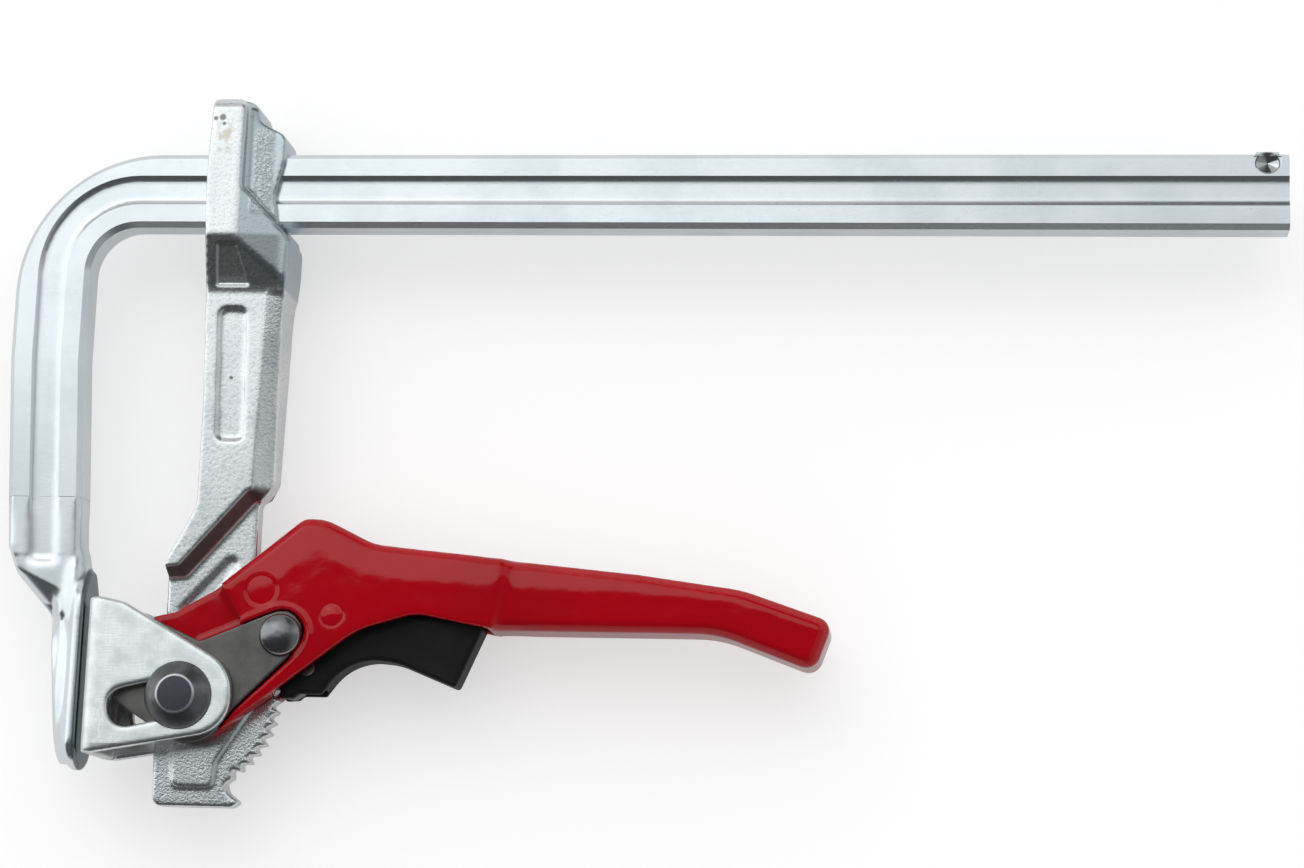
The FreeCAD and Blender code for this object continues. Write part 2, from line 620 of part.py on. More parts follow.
def make_sliding_arm():
    """Head that loops round the rail, beam, web, toothed sector and foot, forged in one piece."""
    body = new_body("sliding_arm")
    left = d.head_left
    right = left + d.head_width
    web_left = d.web_left
    mid_x = d.pivot_x

    # The sector is the part of a disc that lies right of the web's left side
    disc = circle(new_sketch(body, "sector_circle"), mid_x, pivot_y, d.tooth_tip_radius)
    pad(body, "sector", disc, d.web_thick)
    cut_through(body, "sector_left", outline(new_sketch(body, "sector_left_outline"), [
        (mid_x + 12, pivot_y + 40),
        (mid_x - 40, pivot_y + 40),
        (mid_x - 40, pivot_y - 40),
        (mid_x + 9.8, pivot_y - 40),
        (mid_x + 7.8, pivot_y - 12),
        (mid_x + 6, pivot_y + 12),
        (mid_x + 16.8, pivot_y + 11.6),
        (mid_x + 32, pivot_y + 23),
        (mid_x + 32, pivot_y + 40),
    ]))

    # One notch between two teeth, steep on its lower side, then all of them round the pivot
    notch = new_sketch(body, "tooth_notch")
    bind(notch, "AttachmentOffset.Base.x", mid_x)
    bind(notch, "AttachmentOffset.Base.y", pivot_y)
    root = d.tooth_tip_radius - d.tooth_depth
    over = d.tooth_tip_radius + 2
    first = d.tooth_first
    low_root = first + d.tooth_pitch * 0.24
    high_root = first + d.tooth_pitch * 0.42
    next_tip = first + d.tooth_pitch * 0.94
    outline(notch, [
        (d.tooth_tip_radius * cosine(first), d.tooth_tip_radius * sine(first)),
        (root * cosine(low_root), root * sine(low_root)),
        (root * cosine(high_root), root * sine(high_root)),
        (d.tooth_tip_radius * cosine(next_tip), d.tooth_tip_radius * sine(next_tip)),
        (over * cosine(next_tip), over * sine(next_tip)),
        (over * cosine(first), over * sine(first)),
    ])
    cut = cut_through(body, "tooth", notch)
    teeth = body.newObject("PartDesign::PolarPattern", "teeth")
    teeth.Originals = [cut]
    teeth.Axis = (notch, ["N_Axis"])
    bind(teeth, "Angle", d.tooth_pitch * (d.tooth_count - 1))
    bind(teeth, "Occurrences", d.tooth_count)
    body.Tip = teeth
    settled(teeth)

    # Web from the beam down to the foot with its hook
    slab(body, "web", [
        (d.beam_left + 0.6, 56),
        (d.beam_left, 43.8, 9),
        (web_left + 0.2, 29.7, 6),
        (web_left - 0.1, 24.5),
        (web_left + 0.3, 14),
        (web_left - 1.2, 13 - d.foot_drop, 30),
        (web_left - 0.7, -d.foot_drop, 2.2),
        (mid_x + 12.4, -d.foot_drop, 1.5),
        (mid_x + 14.3, 1.4 - d.foot_drop),
        (mid_x + 11.2, 3.7 - d.foot_drop),
        (mid_x + 9.9, 7.3 - d.foot_drop),
        (mid_x + 9.9, -14),
        (mid_x + 13, 6),
        (mid_x + 11.3, 20, 8),
        (d.beam_right - 3.2, 30, 8),
        (d.beam_right - 3.2, 56),
    ], d.web_thick)

    # Beam, with an oblique step down to the web
    slab(body, "beam", [
        (left + 0.4, rail_low - 4),
        (d.beam_left, 71),
        (d.beam_left, 43.8, 9),
        (web_left + 0.2, 29.7, 6),
        (web_left - 0.1, 17),
        (d.beam_right - 3.2, 38),
        (d.beam_right - 3.2, 45),
        (d.beam_right + 0.8, 50.4),
        (d.beam_right + 0.9, 93),
        (d.beam_shoulder, rail_low - 12),
        (d.beam_shoulder, rail_low - 4),
    ], d.beam_thick)
    below = outline(new_sketch(body, "oblique_step_outline", lift=d.web_thick / 2), [
        (web_left - 4, 25.4),
        (web_left + 4.8, 26.2),
        (d.beam_right - 4, 45.6),
        (d.beam_right + 8.4, 46.6),
        (d.beam_right + 8.4, 10),
        (web_left - 4, 10),
    ])
    step = cut_depth(body, "oblique_step", below, 8, forwards=True, taper=27.0)
    mirrored(body, "oblique_step_behind", [step])

    # Head: a thick rib on the left, and below the rail the shoulders that flow into the beam
    slope_foot = rail_low - d.slope_drop
    slab(body, "head_rib", [
        (left + 0.7, rail_top + d.head_rise, 1.2),
        (left + 8.0, rail_top + d.head_rise),
        (left + d.rib_width + 0.4, rail_top + d.head_rise - 3),
        (left + d.rib_width + 0.3, rail_low + 9.4),
        (right - 3.4, rail_low + 1.8),
        (d.beam_shoulder, rail_low - 4.4),
        (d.beam_shoulder - 0.4, slope_foot - 0.6),
        (left + 1.0, slope_foot - 0.6),
        (left, rail_top - 8),
    ], d.head_thick)
    slab(body, "head_cheeks", [
        (left + 7, rail_top + d.head_rise - 0.3),
        (left + 12.5, rail_top + d.head_rise - 0.3, 4.4),
        (left + 12.7, rail_top + d.head_rise - 6.1, 1.2),
        (right - 0.7, rail_top + d.head_rise - 9.7, 3),
        (right - 0.7, rail_top - 2),
        (right - 2.8, rail_low + 8),
        (right - 1.6, rail_low + 0.4),
        (right + 1.4, rail_low - 2.2),
        (right + 1.4, rail_low - 14),
        (left + 7, rail_low - 14),
    ], d.cheek_thick)

    # To the right of the rib's flat, a facet falls away across rib and shoulder
    rib_half = d.head_thick / 2
    flat_end = left + d.rib_flat
    facet = outline(new_sketch(body, "shoulder_facet_outline", "XZ_Plane"), [
        (flat_end, rib_half),
        (right + 6, rib_half - (right + 6 - flat_end) * d.facet_slope),
        (right + 6, rib_half + 2),
        (flat_end, rib_half + 2),
    ])
    facet_cut = cut_through(body, "shoulder_facet", facet)
    mirrored(body, "shoulder_facet_behind", [facet_cut])

    # The shoulders thin down to the beam below the rail
    wedge = outline(new_sketch(body, "shoulder_slope_outline", "YZ_Plane"), [
        (rail_low - 3.4, rib_half),
        (slope_foot, d.beam_thick / 2),
        (slope_foot - 1.5, d.beam_thick / 2),
        (slope_foot - 1.5, rib_half + 2),
        (rail_low - 3.4, rib_half + 2),
    ])
    slope_cut = cut_through(body, "shoulder_slope", wedge)
    mirrored(body, "shoulder_slope_behind", [slope_cut])

    # The right edge of the beam is bevelled, and more so towards the pivot
    low = triangle(body, "bevel_low", 46, d.beam_land - 0.6, d.beam_right + 1.2, d.beam_edge_low / 2)
    top = triangle(body, "bevel_top", slope_foot, d.beam_land + 0.2, d.beam_shoulder + 1.2,
                   d.beam_edge_top / 2)
    bevel = body.newObject("PartDesign::SubtractiveLoft", "edge_bevel")
    bevel.Profile = low
    bevel.Sections = [top]
    settled(bevel)
    mirrored(body, "edge_bevel_behind", [bevel])

    # Raised panel round the pivot
    slab(body, "pivot_panel", [
        (web_left + 3.6, pivot_y - 10),
        (web_left + 4.4, 5.1 - d.foot_drop, 1.5),
        (mid_x + 7.2, 5.1 - d.foot_drop, 1.5),
        (mid_x + 7.6, pivot_y - 15.5, 3),
        (mid_x + 16.6, pivot_y - 1.2, 2),
        (mid_x + 12, pivot_y + 11, 4),
        (web_left + 3, pivot_y + 13, 4),
    ], d.web_thick + d.boss_rise * 2)

    # Shallow panels in both faces of the beam and of the web
    half = d.recess_width / 2
    panel_x = left + 8.4
    panel_top = rail_low - 22
    cut_outside(body, "beam_panel", [
        (panel_x - half, panel_top, 2.2),
        (panel_x - half + 1.1, panel_top - d.recess_length, 2.2),
        (panel_x + half + 1.1, panel_top - d.recess_length, 2.2),
        (panel_x + half, panel_top, 2.2),
    ], d.beam_thick / 2 - d.recess_depth)
    cut_outside(body, "web_panel", [
        (web_left + 17.0, 33.2, 1.6),
        (web_left + 17.9, 28.8, 1.6),
        (web_left + 7.6, 14),
        (web_left + 2.9, 17.7),
    ], d.web_thick / 2 - d.recess_depth * 0.6)

    # Window for the rail, and the bore for the pivot pin
    play = d.slide_clearance
    window = outline(new_sketch(body, "rail_window_outline", "YZ_Plane"), [
        (rail_low - play, -d.rail_thick / 2 - play),
        (rail_top + play, -d.rail_thick / 2 - play),
        (rail_top + play, d.rail_thick / 2 + play),
        (rail_low - play, d.rail_thick / 2 + play),
    ])
    cut_through(body, "rail_window", window)
    bore(body, "pivot_bore", mid_x, pivot_y, d.pivot_radius + d.fit_clearance)
    return body


def triangle(body, name, level, land, edge, edge_half):
    """Section of the beam's bevel at one height: from the end of its flat out to its thin edge."""
    sketch = new_sketch(body, name, "XZ_Plane", -Size.of(level))
    return outline(sketch, [
        (land, d.beam_thick / 2),
        (edge, edge_half),
        (edge + 3, edge_half),
        (edge + 3, d.beam_thick / 2 + 1),
        (land, d.beam_thick / 2 + 1),
    ])


def make_pressure_jaw():
    """Sheet folded into a yoke: a flat base towards the fixed jaw and a slotted cheek each side."""
    body = new_body("pressure_jaw")
    face = d.jaw_gap
    nose = d.pivot_x + 13.2
    slab(body, "yoke", [
        (face, -d.jaw_drop),
        (face + 3, -d.jaw_drop, 4),
        (nose - 14, 3.7 - d.jaw_drop),
        (nose, 6.3 - d.jaw_drop, d.jaw_nose_radius - 1.2),
        (nose, 2.4, d.jaw_nose_radius),
        (face + 9.5, d.jaw_rise - 1.2, 6),
        (face + 3.6, d.jaw_rise, 1.2),
        (face, d.jaw_rise),
    ], d.jaw_width)
    inside = outline(new_sketch(body, "yoke_inside", "XZ_Plane"), [
        (face + d.jaw_sheet, -jaw_inner),
        (nose + 5, -jaw_inner),
        (nose + 5, jaw_inner),
        (face + d.jaw_sheet, jaw_inner),
    ])
    cut_through(body, "opening", inside)
    # The slot starts just ahead of the pin and runs down towards the fixed jaw
    wide = d.pivot_radius + d.fit_clearance
    run_x = cosine(d.slot_angle)
    run_y = sine(d.slot_angle)
    ahead = d.slot_spare + wide
    behind = d.slot_travel + wide
    front = (d.pivot_x + run_x * ahead, pivot_y + run_y * ahead)
    rear = (d.pivot_x - run_x * behind, pivot_y - run_y * behind)
    end_radius = wide * 0.94
    solid = cut_through(body, "pin_slots", outline(new_sketch(body, "slot_outline"), [
        (front[0] - run_y * wide, front[1] + run_x * wide, end_radius),
        (rear[0] - run_y * wide, rear[1] + run_x * wide, end_radius),
        (rear[0] + run_y * wide, rear[1] - run_x * wide, end_radius),
        (front[0] + run_y * wide, front[1] - run_x * wide, end_radius),
    ]))
    side = d.jaw_width.value / 2
    folds = [
        "Edge%d" % number for number, edge in enumerate(solid.Shape.Edges, start=1)
        if edge.Length > 30 and abs(edge.CenterOfMass.x - face.value) < 1e-4
        and abs(abs(edge.CenterOfMass.z) - side) < 1e-4
    ]
    round_edges(body, "outer_folds", solid, folds, d.jaw_fold_radius)
    return body


def cam_corners(grow=0):
    """Outline of a cam plate: its left side is an involute that moves the jaw evenly with the angle."""
    reach = d.pivot_x - d.jaw_gap - d.jaw_sheet - d.cam_clearance
    lead = d.cam_lead
    x = d.pivot_x
    y = pivot_y
    grow = Size.of(grow)
    corners = [
        (d.cam_rivet_x - 3.3 - grow * 0.3, d.cam_rivet_y + 5.2 + grow),
        (d.cam_rivet_x + 1.6 + grow * 0.5, d.cam_rivet_y + 6.8 + grow, 4.6),
        (d.cam_rivet_x + 6.4 + grow, d.cam_rivet_y + 1.4, 4.6),
        (d.cam_rivet_x + 2.0 + grow * 0.7, d.cam_rivet_y - 5.6 - grow * 0.7, 4),
        (x + 12.9 + grow * 0.7, y - 3.0 - grow * 0.7),
        (x + 6.6, y - 11.2 - grow * 1.3, 9),
        (x - 1.4, y - 11.2 - grow * 1.3, 6),
    ]
    for degrees in (-58, -44, -30, -15, 0, 12, 23):
        turn = math.radians(degrees)
        height = reach + lead * turn + grow
        side = math.pi - turn
        corners.append((
            x + height * math.cos(side) + lead * math.sin(side),
            y + height * math.sin(side) - lead * math.cos(side),
        ))
    corners += [
        (x - 18.2 - grow * 0.2, y + 22.7 + grow, 0.8),
        (x - 9.4, y + 19.8 + grow),
        (x + 3.8, y + 13.9 + grow, 1.2),
    ]
    return corners


def make_cam_plate(label, behind):
    """One of the two cam plates, which sit on the outer sides of the handle's lugs."""
    body = new_body(label)
    level = -cam_outer if behind else lug_outer
    sketch = outline(new_sketch(body, label + "_outline", lift=level), cam_corners())
    rise(body, label + "_plate", sketch, d.cam_thick)
    bore(body, label + "_pivot_bore", d.pivot_x, pivot_y, d.pivot_radius + d.fit_clearance)
    bore(body, label + "_rivet_bore", d.cam_rivet_x, d.cam_rivet_y, d.cam_rivet_radius + d.fit_clearance)
    return body


def on_root(x, y, *radius):
    """A corner of the handle's channel, drawn from the pivot for a channel 80.3 long and scaled to it."""
    scale = d.root_length / 80.3
    return (d.pivot_x + scale * x, pivot_y + scale * y, *radius)


def on_grip(x, y, *radius):
    """A corner of the grip, drawn from the channel's end for a grip 81.1 long and scaled to it."""
    scale = d.grip_length / 81.1
    return (d.pivot_x + d.root_length + scale * x, pivot_y + scale * y, *radius)


def make_handle_lever():
    """Pressed channel with two lugs at the pivot and a closed grip."""
    body = new_body("handle_lever")
    grip = slab(body, "grip", [
        on_grip(-4.5, 36.4),
        on_grip(32.5, 32.9),
        on_grip(58.5, 29.4, 30),
        on_grip(81.1, 21.8, 3.4),
        on_grip(76.7, 9.4, 3.6),
        on_grip(52.5, 18.4, 30),
        on_grip(-4.5, 18.3),
    ], d.grip_width)
    half = d.grip_width.value / 2
    buried = on_grip(-3.5, 0)[0].value
    sides = long_edges(grip.Shape, half, lambda middle: middle.x > buried)
    bevel_edges(body, "grip_bevel", grip, sides, d.grip_bevel)

    root = slab(body, "root", [
        on_root(-9.6, 20.4),
        on_root(-4.0, 21.6, 6),
        on_root(6.1, 27.4, 8),
        on_root(28.2, 45.7, 4),
        on_root(33.8, 45.5, 12),
        on_root(46.3, 39.4, 14),
        on_root(58.1, 38.2),
        on_root(80.3, 36.2),
        on_root(77.4, 18.2),
        on_root(57.8, 22.0, 12),
        on_root(43.2, 17.7, 22),
        on_root(7.6, -9.8, 8),
        on_root(-9.6, -9.8, 9),
    ], d.channel_width)
    half = d.channel_width.value / 2
    end_x = on_root(78.8, 0)[0].value
    crest_y = pivot_y.value + 50.3
    upper = long_edges(root.Shape, half, lambda middle: middle.y > 15 and middle.x < end_x
                       and middle.y > crest_y - 0.28 * middle.x)
    bevel_edges(body, "root_bevel", root, upper, d.handle_bevel)

    # The cheeks stand apart all along the underside: narrow between the lugs, wide further out
    roof = d.handle_sheet
    cut_middle(body, "lug_gap", [
        on_root(-27.2, 64.8),
        on_root(17.6, 64.8),
        on_root(17.6, 38.2 - roof),
        on_root(29.4, 45.8 - roof, 4),
        on_root(44.8, 40.0 - roof),
        on_root(44.8, -25.2),
        on_root(-27.2, -25.2),
    ], d.cheek_gap)
    cut_middle(body, "channel", [
        on_root(28.3, 44.4 - roof, 3),
        on_root(33.8, 44.6 - roof, 8),
        on_root(46.3, 39.0 - roof, 14),
        on_root(58.1, 38.0 - roof),
        on_root(75.4, 36.7 - roof, 2),
        on_root(75.4, -5.2),
        on_root(22.6, -5.2),
        on_root(22.6, 9.2),
        on_root(28.3, 11.0),
    ], panel_inner * 2)

    # Outside, the cam plates lie in windows, and the sheet in front of the crease is lower
    cut_outside(body, "plate_window", cam_corners(d.plate_clearance), lug_outer)
    cut_outside(body, "low_panel", [
        on_root(-27.2, 44.8),
        on_root(7.1, 44.8),
        on_root(7.1, 29.8),
        on_root(13.4, 20.0),
        on_root(13.4, 12.8),
        on_root(-17.2, 12.8),
    ], lug_outer)
    bore(body, "handle_pivot_bore", d.pivot_x, pivot_y, d.pivot_radius + d.fit_clearance)
    bore(body, "handle_rivet_bore", d.cam_rivet_x, d.cam_rivet_y, d.cam_rivet_radius + d.fit_clearance)
    bore(body, "spacer_bore", d.spacer_x, d.spacer_y, d.spacer_radius + d.fit_clearance)
    bore(body, "trigger_bore", d.trigger_x, d.trigger_y, d.trigger_pin_radius + d.fit_clearance)
    return body


def make_cam_rivet():
    """Rivet with two domed heads, which joins the cam plates to the handle."""
    seat = cam_outer
    top = seat + d.cam_rivet_head_height
    rim = d.cam_rivet_head_radius
    high = d.cam_rivet_head_height
    dome = [
        (0, top),
        (rim * 0.45, top),
        (rim * 0.88, seat + high * 0.62),
        (rim, seat),
    ]
    behind = [(radius, -level) for radius, level in dome]
    profile = behind + [
        (d.cam_rivet_radius, -seat),
        (d.cam_rivet_radius, seat),
    ] + dome[::-1]
    return turned("cam_rivet", profile, d.cam_rivet_x, d.cam_rivet_y)[0]


def make_headed_pin(label, x, y, shank, head, seat, height):
    """Pin with a low head at each end, lying on the outer faces of the handle."""
    profile = [
        (0, -seat - height),
        (head, -seat - height),
        (head, -seat),
        (shank, -seat),
        (shank, seat),
        (head, seat),
        (head, seat + height),
        (0, seat + height),
    ]
    return turned(label, profile, x, y)[0]


def make_sleeve(label, x, y, pin, half_length):
    """Distance sleeve round a rivet, between the two cheeks."""
    inside = pin + d.fit_clearance
    profile = [
        (inside, -half_length),
        (inside + d.sleeve_wall, -half_length),
        (inside + d.sleeve_wall, half_length),
        (inside, half_length),
    ]
    return turned(label, profile, x, y)[0]


def make_release_trigger():
    """Moulded trigger that turns in the handle and carries the pawl in a slot of its nose."""
    body = new_body("release_trigger")
    x = d.trigger_x
    y = d.trigger_y
    solid = slab(body, "trigger", [
        (x + 37.3, y - 2.5, 1.2),
        (x + 31.0, y - 17.2, 0.8),
        (x + 16.0, y - 11.2, 16),
        (x + 4.0, y - 10.0, 14),
        (x - 2.8, y - 19.4, 0.5),
        (x - 8.6, y - 19.4, 0.5),
        (x - 9.6, y - 20.5, 0.5),
        (x - 13.4, y - 20.7, 0.5),
        (x - 13.2, y - 17.4),
        (x - 11.6, y - 14.2),
        (x - 7.6, y - 10.4),
        (x - 5.4, y + 5.0, 4.6),
        (x + 5.0, y + 5.0, 4.6),
        (x + 12, y + 1.0, 10),
        (x + 37.0, y - 0.5, 1),
    ], d.trigger_thick)
    half = d.trigger_thick.value / 2
    rims = long_edges(solid.Shape, half, lambda middle: middle.y < y.value - 2 and middle.x > x.value - 9)
    bevel_edges(body, "trigger_rim", solid, rims, 0.5)
    cut_middle(body, "pawl_slot", [
        (x - 20, y - 30),
        (x - 2.2, y - 30),
        (x - 2.2, y - 8.6),
        (x - 20, y - 8.6),
    ], d.pawl_thick + 0.1)
    bore(body, "trigger_pivot_bore", x, y, d.trigger_pin_radius + d.fit_clearance)
    bore(body, "pawl_pin_bore", d.pawl_pin_x, d.pawl_pin_y, d.pawl_pin_radius + d.fit_clearance)
    return body


def make_pawl():
    """Toothed pawl in the trigger's nose, facing the sector."""
    body = new_body("pawl")
    tip = d.tooth_tip_radius + d.pawl_clearance
    root = tip + d.tooth_depth * 0.8
    corners = []
    for number in range(2):
        angle = d.tooth_first + d.tooth_pitch * (number + 8.2)
        behind = angle + d.tooth_pitch * 0.3
        beyond = angle + d.tooth_pitch * 0.75
        corners += [
            (d.pivot_x + tip * cosine(angle), pivot_y + tip * sine(angle)),
            (d.pivot_x + root * cosine(behind), pivot_y + root * sine(behind)),
            (d.pivot_x + root * cosine(beyond), pivot_y + root * sine(beyond)),
        ]
    corners += [
        (d.pawl_pin_x - 1.4, d.pawl_pin_y + 3.4, 2),
        (d.pawl_pin_x + 3.4, d.pawl_pin_y + 3.4, 2.6),
        (d.pawl_pin_x + 3.0, d.pawl_pin_y - 3.2, 2.6),
        (d.pawl_pin_x - 3.6, d.pawl_pin_y - 7.8, 1.0),
    ]
    slab(body, "pawl_plate", corners, d.pawl_thick)
    bore(body, "pawl_bore", d.pawl_pin_x, d.pawl_pin_y, d.pawl_pin_radius + d.fit_clearance)
    return body


def make_trigger_spring():
    """Coil spring round the trigger's pivot pin, beside the trigger; six flats stand for its round wire."""
    body = new_body("trigger_spring")
    wire = d.spring_wire
    section = new_sketch(body, "wire_section", "XZ_Plane")
    start = d.trigger_thick / 2 + wire / 2 + 0.05
    middle = d.trigger_pin_radius + wire / 2 + 0.1
    outline(section, [
        (middle + wire / 2 * cosine(turn), start + wire / 2 * sine(turn)) for turn in range(0, 360, 60)
    ])
    coil = body.newObject("PartDesign::AdditiveHelix", "coil")
    coil.Profile = section
    coil.ReferenceAxis = (section, ["V_Axis"])
    coil.Mode = "pitch-turns-angle"
    bind(coil, "Pitch", wire * 1.05)
    bind(coil, "Turns", d.spring_turns)
    settled(coil)
    place(body, d.trigger_x, d.trigger_y)
    doc.recompute()
    return body


def make_pivot_pin():
    """Shank with a conical head in front and a flatter formed head behind."""
    under = jaw_outer + 0.05
    profile = [
        (0, -under - 2.6),
        (d.pivot_flat_radius + 1, -under - 2.6),
        (d.pivot_head_radius - 0.4, -under - 1.0),
        (d.pivot_head_radius - 0.4, -under),
        (d.pivot_radius, -under),
        (d.pivot_radius, under),
        (d.pivot_head_radius, under),
        (d.pivot_head_radius, under + 0.5),
        (d.pivot_flat_radius, under + d.pivot_head_height),
        (0, under + d.pivot_head_height),
    ]
    return turned("pivot_pin", profile, d.pivot_x, pivot_y)[0]


PIECES = [
    make_rail_with_fixed_jaw(),
    make_sliding_arm(),
    make_pressure_jaw(),
    make_cam_plate("cam_plate_front", False),
    make_cam_plate("cam_plate_back", True),
    make_handle_lever(),
    make_pivot_pin(),
    make_cam_rivet(),
    make_headed_pin("spacer_rivet", d.spacer_x, d.spacer_y, d.spacer_radius, d.spacer_ring_radius,
                    panel_outer, 0.35),
    make_headed_pin("trigger_pivot_pin", d.trigger_x, d.trigger_y, d.trigger_pin_radius,
                    d.trigger_ring_radius, panel_outer, 0.35),
    make_sleeve("cam_sleeve", d.cam_rivet_x, d.cam_rivet_y, d.cam_rivet_radius, lug_inner),
    make_sleeve("spacer_sleeve", d.spacer_x, d.spacer_y, d.spacer_radius, lug_inner),
    make_release_trigger(),
    make_pawl(),
    make_headed_pin("pawl_pin", d.pawl_pin_x, d.pawl_pin_y, d.pawl_pin_radius, d.pawl_pin_radius + 0.6,
                    d.trigger_thick / 2, 0.4),
    make_trigger_spring(),
]


def write_pieces():
    """Check the whole document, then write one STEP file for each piece."""
    doc.recompute()
    for thing in doc.Objects:
        if "Invalid" in thing.State or "Error" in thing.State:
            raise RuntimeError("%s has failed: %s" % (thing.Label, thing.State))
    for piece in PIECES:
        if piece.Shape.isNull() or not piece.Shape.isValid():
            raise RuntimeError("%s has no valid shape" % piece.Label)
    os.makedirs("parts", exist_ok=True)
    for piece in PIECES:
        piece.Shape.exportStep(os.path.join("parts", piece.Label + ".step"))
        print("%s: %d solid, %.1f mm3" % (piece.Label, len(piece.Shape.Solids), piece.Shape.Volume))


write_pieces()
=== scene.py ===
"""Looks of the lever clamp: studio, camera, finishes and the dressed pieces.

Every length is in metres unless its name ends in _mm. The frame is the part's own: the origin is the
centre of the fixed jaw's face, +X runs along the rail, +Y from the jaws to the rail, +Z towards the viewer.
"""

from __future__ import annotations

import json
import logging
import math
from dataclasses import dataclass
from enum import Enum
from typing import Any, Callable, Iterable

import bmesh
import bpy
from mathutils import Matrix, Vector
from mathutils.bvhtree import BVHTree

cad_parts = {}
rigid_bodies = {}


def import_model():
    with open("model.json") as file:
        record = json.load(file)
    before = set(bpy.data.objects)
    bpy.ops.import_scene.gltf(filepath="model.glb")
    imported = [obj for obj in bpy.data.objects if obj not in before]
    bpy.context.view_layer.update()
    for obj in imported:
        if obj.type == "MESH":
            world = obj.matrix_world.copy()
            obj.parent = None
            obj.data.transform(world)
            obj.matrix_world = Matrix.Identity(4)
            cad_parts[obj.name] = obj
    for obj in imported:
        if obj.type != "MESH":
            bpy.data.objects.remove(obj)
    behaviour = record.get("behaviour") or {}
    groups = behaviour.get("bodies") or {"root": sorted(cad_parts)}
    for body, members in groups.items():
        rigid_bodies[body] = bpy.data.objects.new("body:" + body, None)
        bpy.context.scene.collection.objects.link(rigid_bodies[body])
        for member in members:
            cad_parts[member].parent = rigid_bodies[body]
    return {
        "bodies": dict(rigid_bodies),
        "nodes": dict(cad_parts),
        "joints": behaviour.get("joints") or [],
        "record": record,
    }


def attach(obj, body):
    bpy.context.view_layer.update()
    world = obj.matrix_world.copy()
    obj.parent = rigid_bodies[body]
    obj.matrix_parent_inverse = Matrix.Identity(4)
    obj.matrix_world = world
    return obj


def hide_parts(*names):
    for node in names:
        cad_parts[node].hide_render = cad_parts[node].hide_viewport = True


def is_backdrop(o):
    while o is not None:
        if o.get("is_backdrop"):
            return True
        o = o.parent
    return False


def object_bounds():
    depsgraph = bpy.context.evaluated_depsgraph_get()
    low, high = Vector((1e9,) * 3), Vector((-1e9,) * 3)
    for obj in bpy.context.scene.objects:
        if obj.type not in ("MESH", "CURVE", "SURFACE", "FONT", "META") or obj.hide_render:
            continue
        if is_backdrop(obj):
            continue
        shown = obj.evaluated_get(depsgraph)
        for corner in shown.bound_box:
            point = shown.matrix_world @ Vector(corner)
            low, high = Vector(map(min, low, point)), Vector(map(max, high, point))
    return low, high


LOG = logging.getLogger("lever_clamp")
MM = 0.001
AXES = ("use_axis_x", "use_axis_y", "use_axis_z")
PIVOT_MM = (27.2, -4.8)  # axis of the pivot pin in X and Y

Number = float | int
Colour = tuple[float, float, float]
Place = tuple[float, float, float]
Edge = tuple[float, float]  # where a soft edge starts and where it is full
Patch = tuple[tuple[Edge, ...], tuple[Edge, ...]]  # soft edges in X, and in Y
Line = tuple[tuple[float, float], ...]  # corners in X and Y, or radii and levels


class Sock:
    """A shader socket that adds Math nodes when Python operators are used on it."""

    def __init__(self, shader: "Shader", socket: bpy.types.NodeSocket) -> None:
        """Wrap one output socket of a shader's tree."""
        self.shader = shader
        self.socket = socket

    def _math(self, operation: str, *values: "Sock | Number") -> "Sock":
        """The output of one Math node with its inputs in order."""
        return self.shader.node("ShaderNodeMath", {"operation": operation}, dict(enumerate(values)))

    def __add__(self, other: "Sock | Number") -> "Sock":
        """Sum."""
        return self._math("ADD", self, other)

    __radd__ = __add__

    def __sub__(self, other: "Sock | Number") -> "Sock":
        """Difference."""
        return self._math("SUBTRACT", self, other)

    def __rsub__(self, other: Number) -> "Sock":
        """Difference from a number."""
        return self._math("SUBTRACT", other, self)

    def __mul__(self, other: "Sock | Number") -> "Sock":
        """Product."""
        return self._math("MULTIPLY", self, other)

    __rmul__ = __mul__

    def power(self, exponent: Number) -> "Sock":
        """The socket to a power."""
        return self._math("POWER", self, exponent)

    def magnitude(self) -> "Sock":
        """The size without its sign."""
        return self._math("ABSOLUTE", self)

    def over(self, other: "Sock | Number") -> "Sock":
        """The larger of two values."""
        return self._math("MAXIMUM", self, other)

    def under(self, other: "Sock | Number") -> "Sock":
        """The smaller of two values."""
        return self._math("MINIMUM", self, other)

    def step(self, low: Number, high: Number) -> "Sock":
        """A smooth step from 0 at low to 1 at high.

        Args:
            low: Where the step starts.
            high: Where it ends; it may be the smaller one.

        Returns:
            A value from 0 to 1.
        """
        down = high < low
        first, last = (high, low) if down else (low, high)
        rise = self.shader.node(
            "ShaderNodeMapRange",
            {"interpolation_type": "SMOOTHSTEP"},
            {"Value": self, "From Min": first, "From Max": last},
        )
        return 1.0 - rise if down else rise


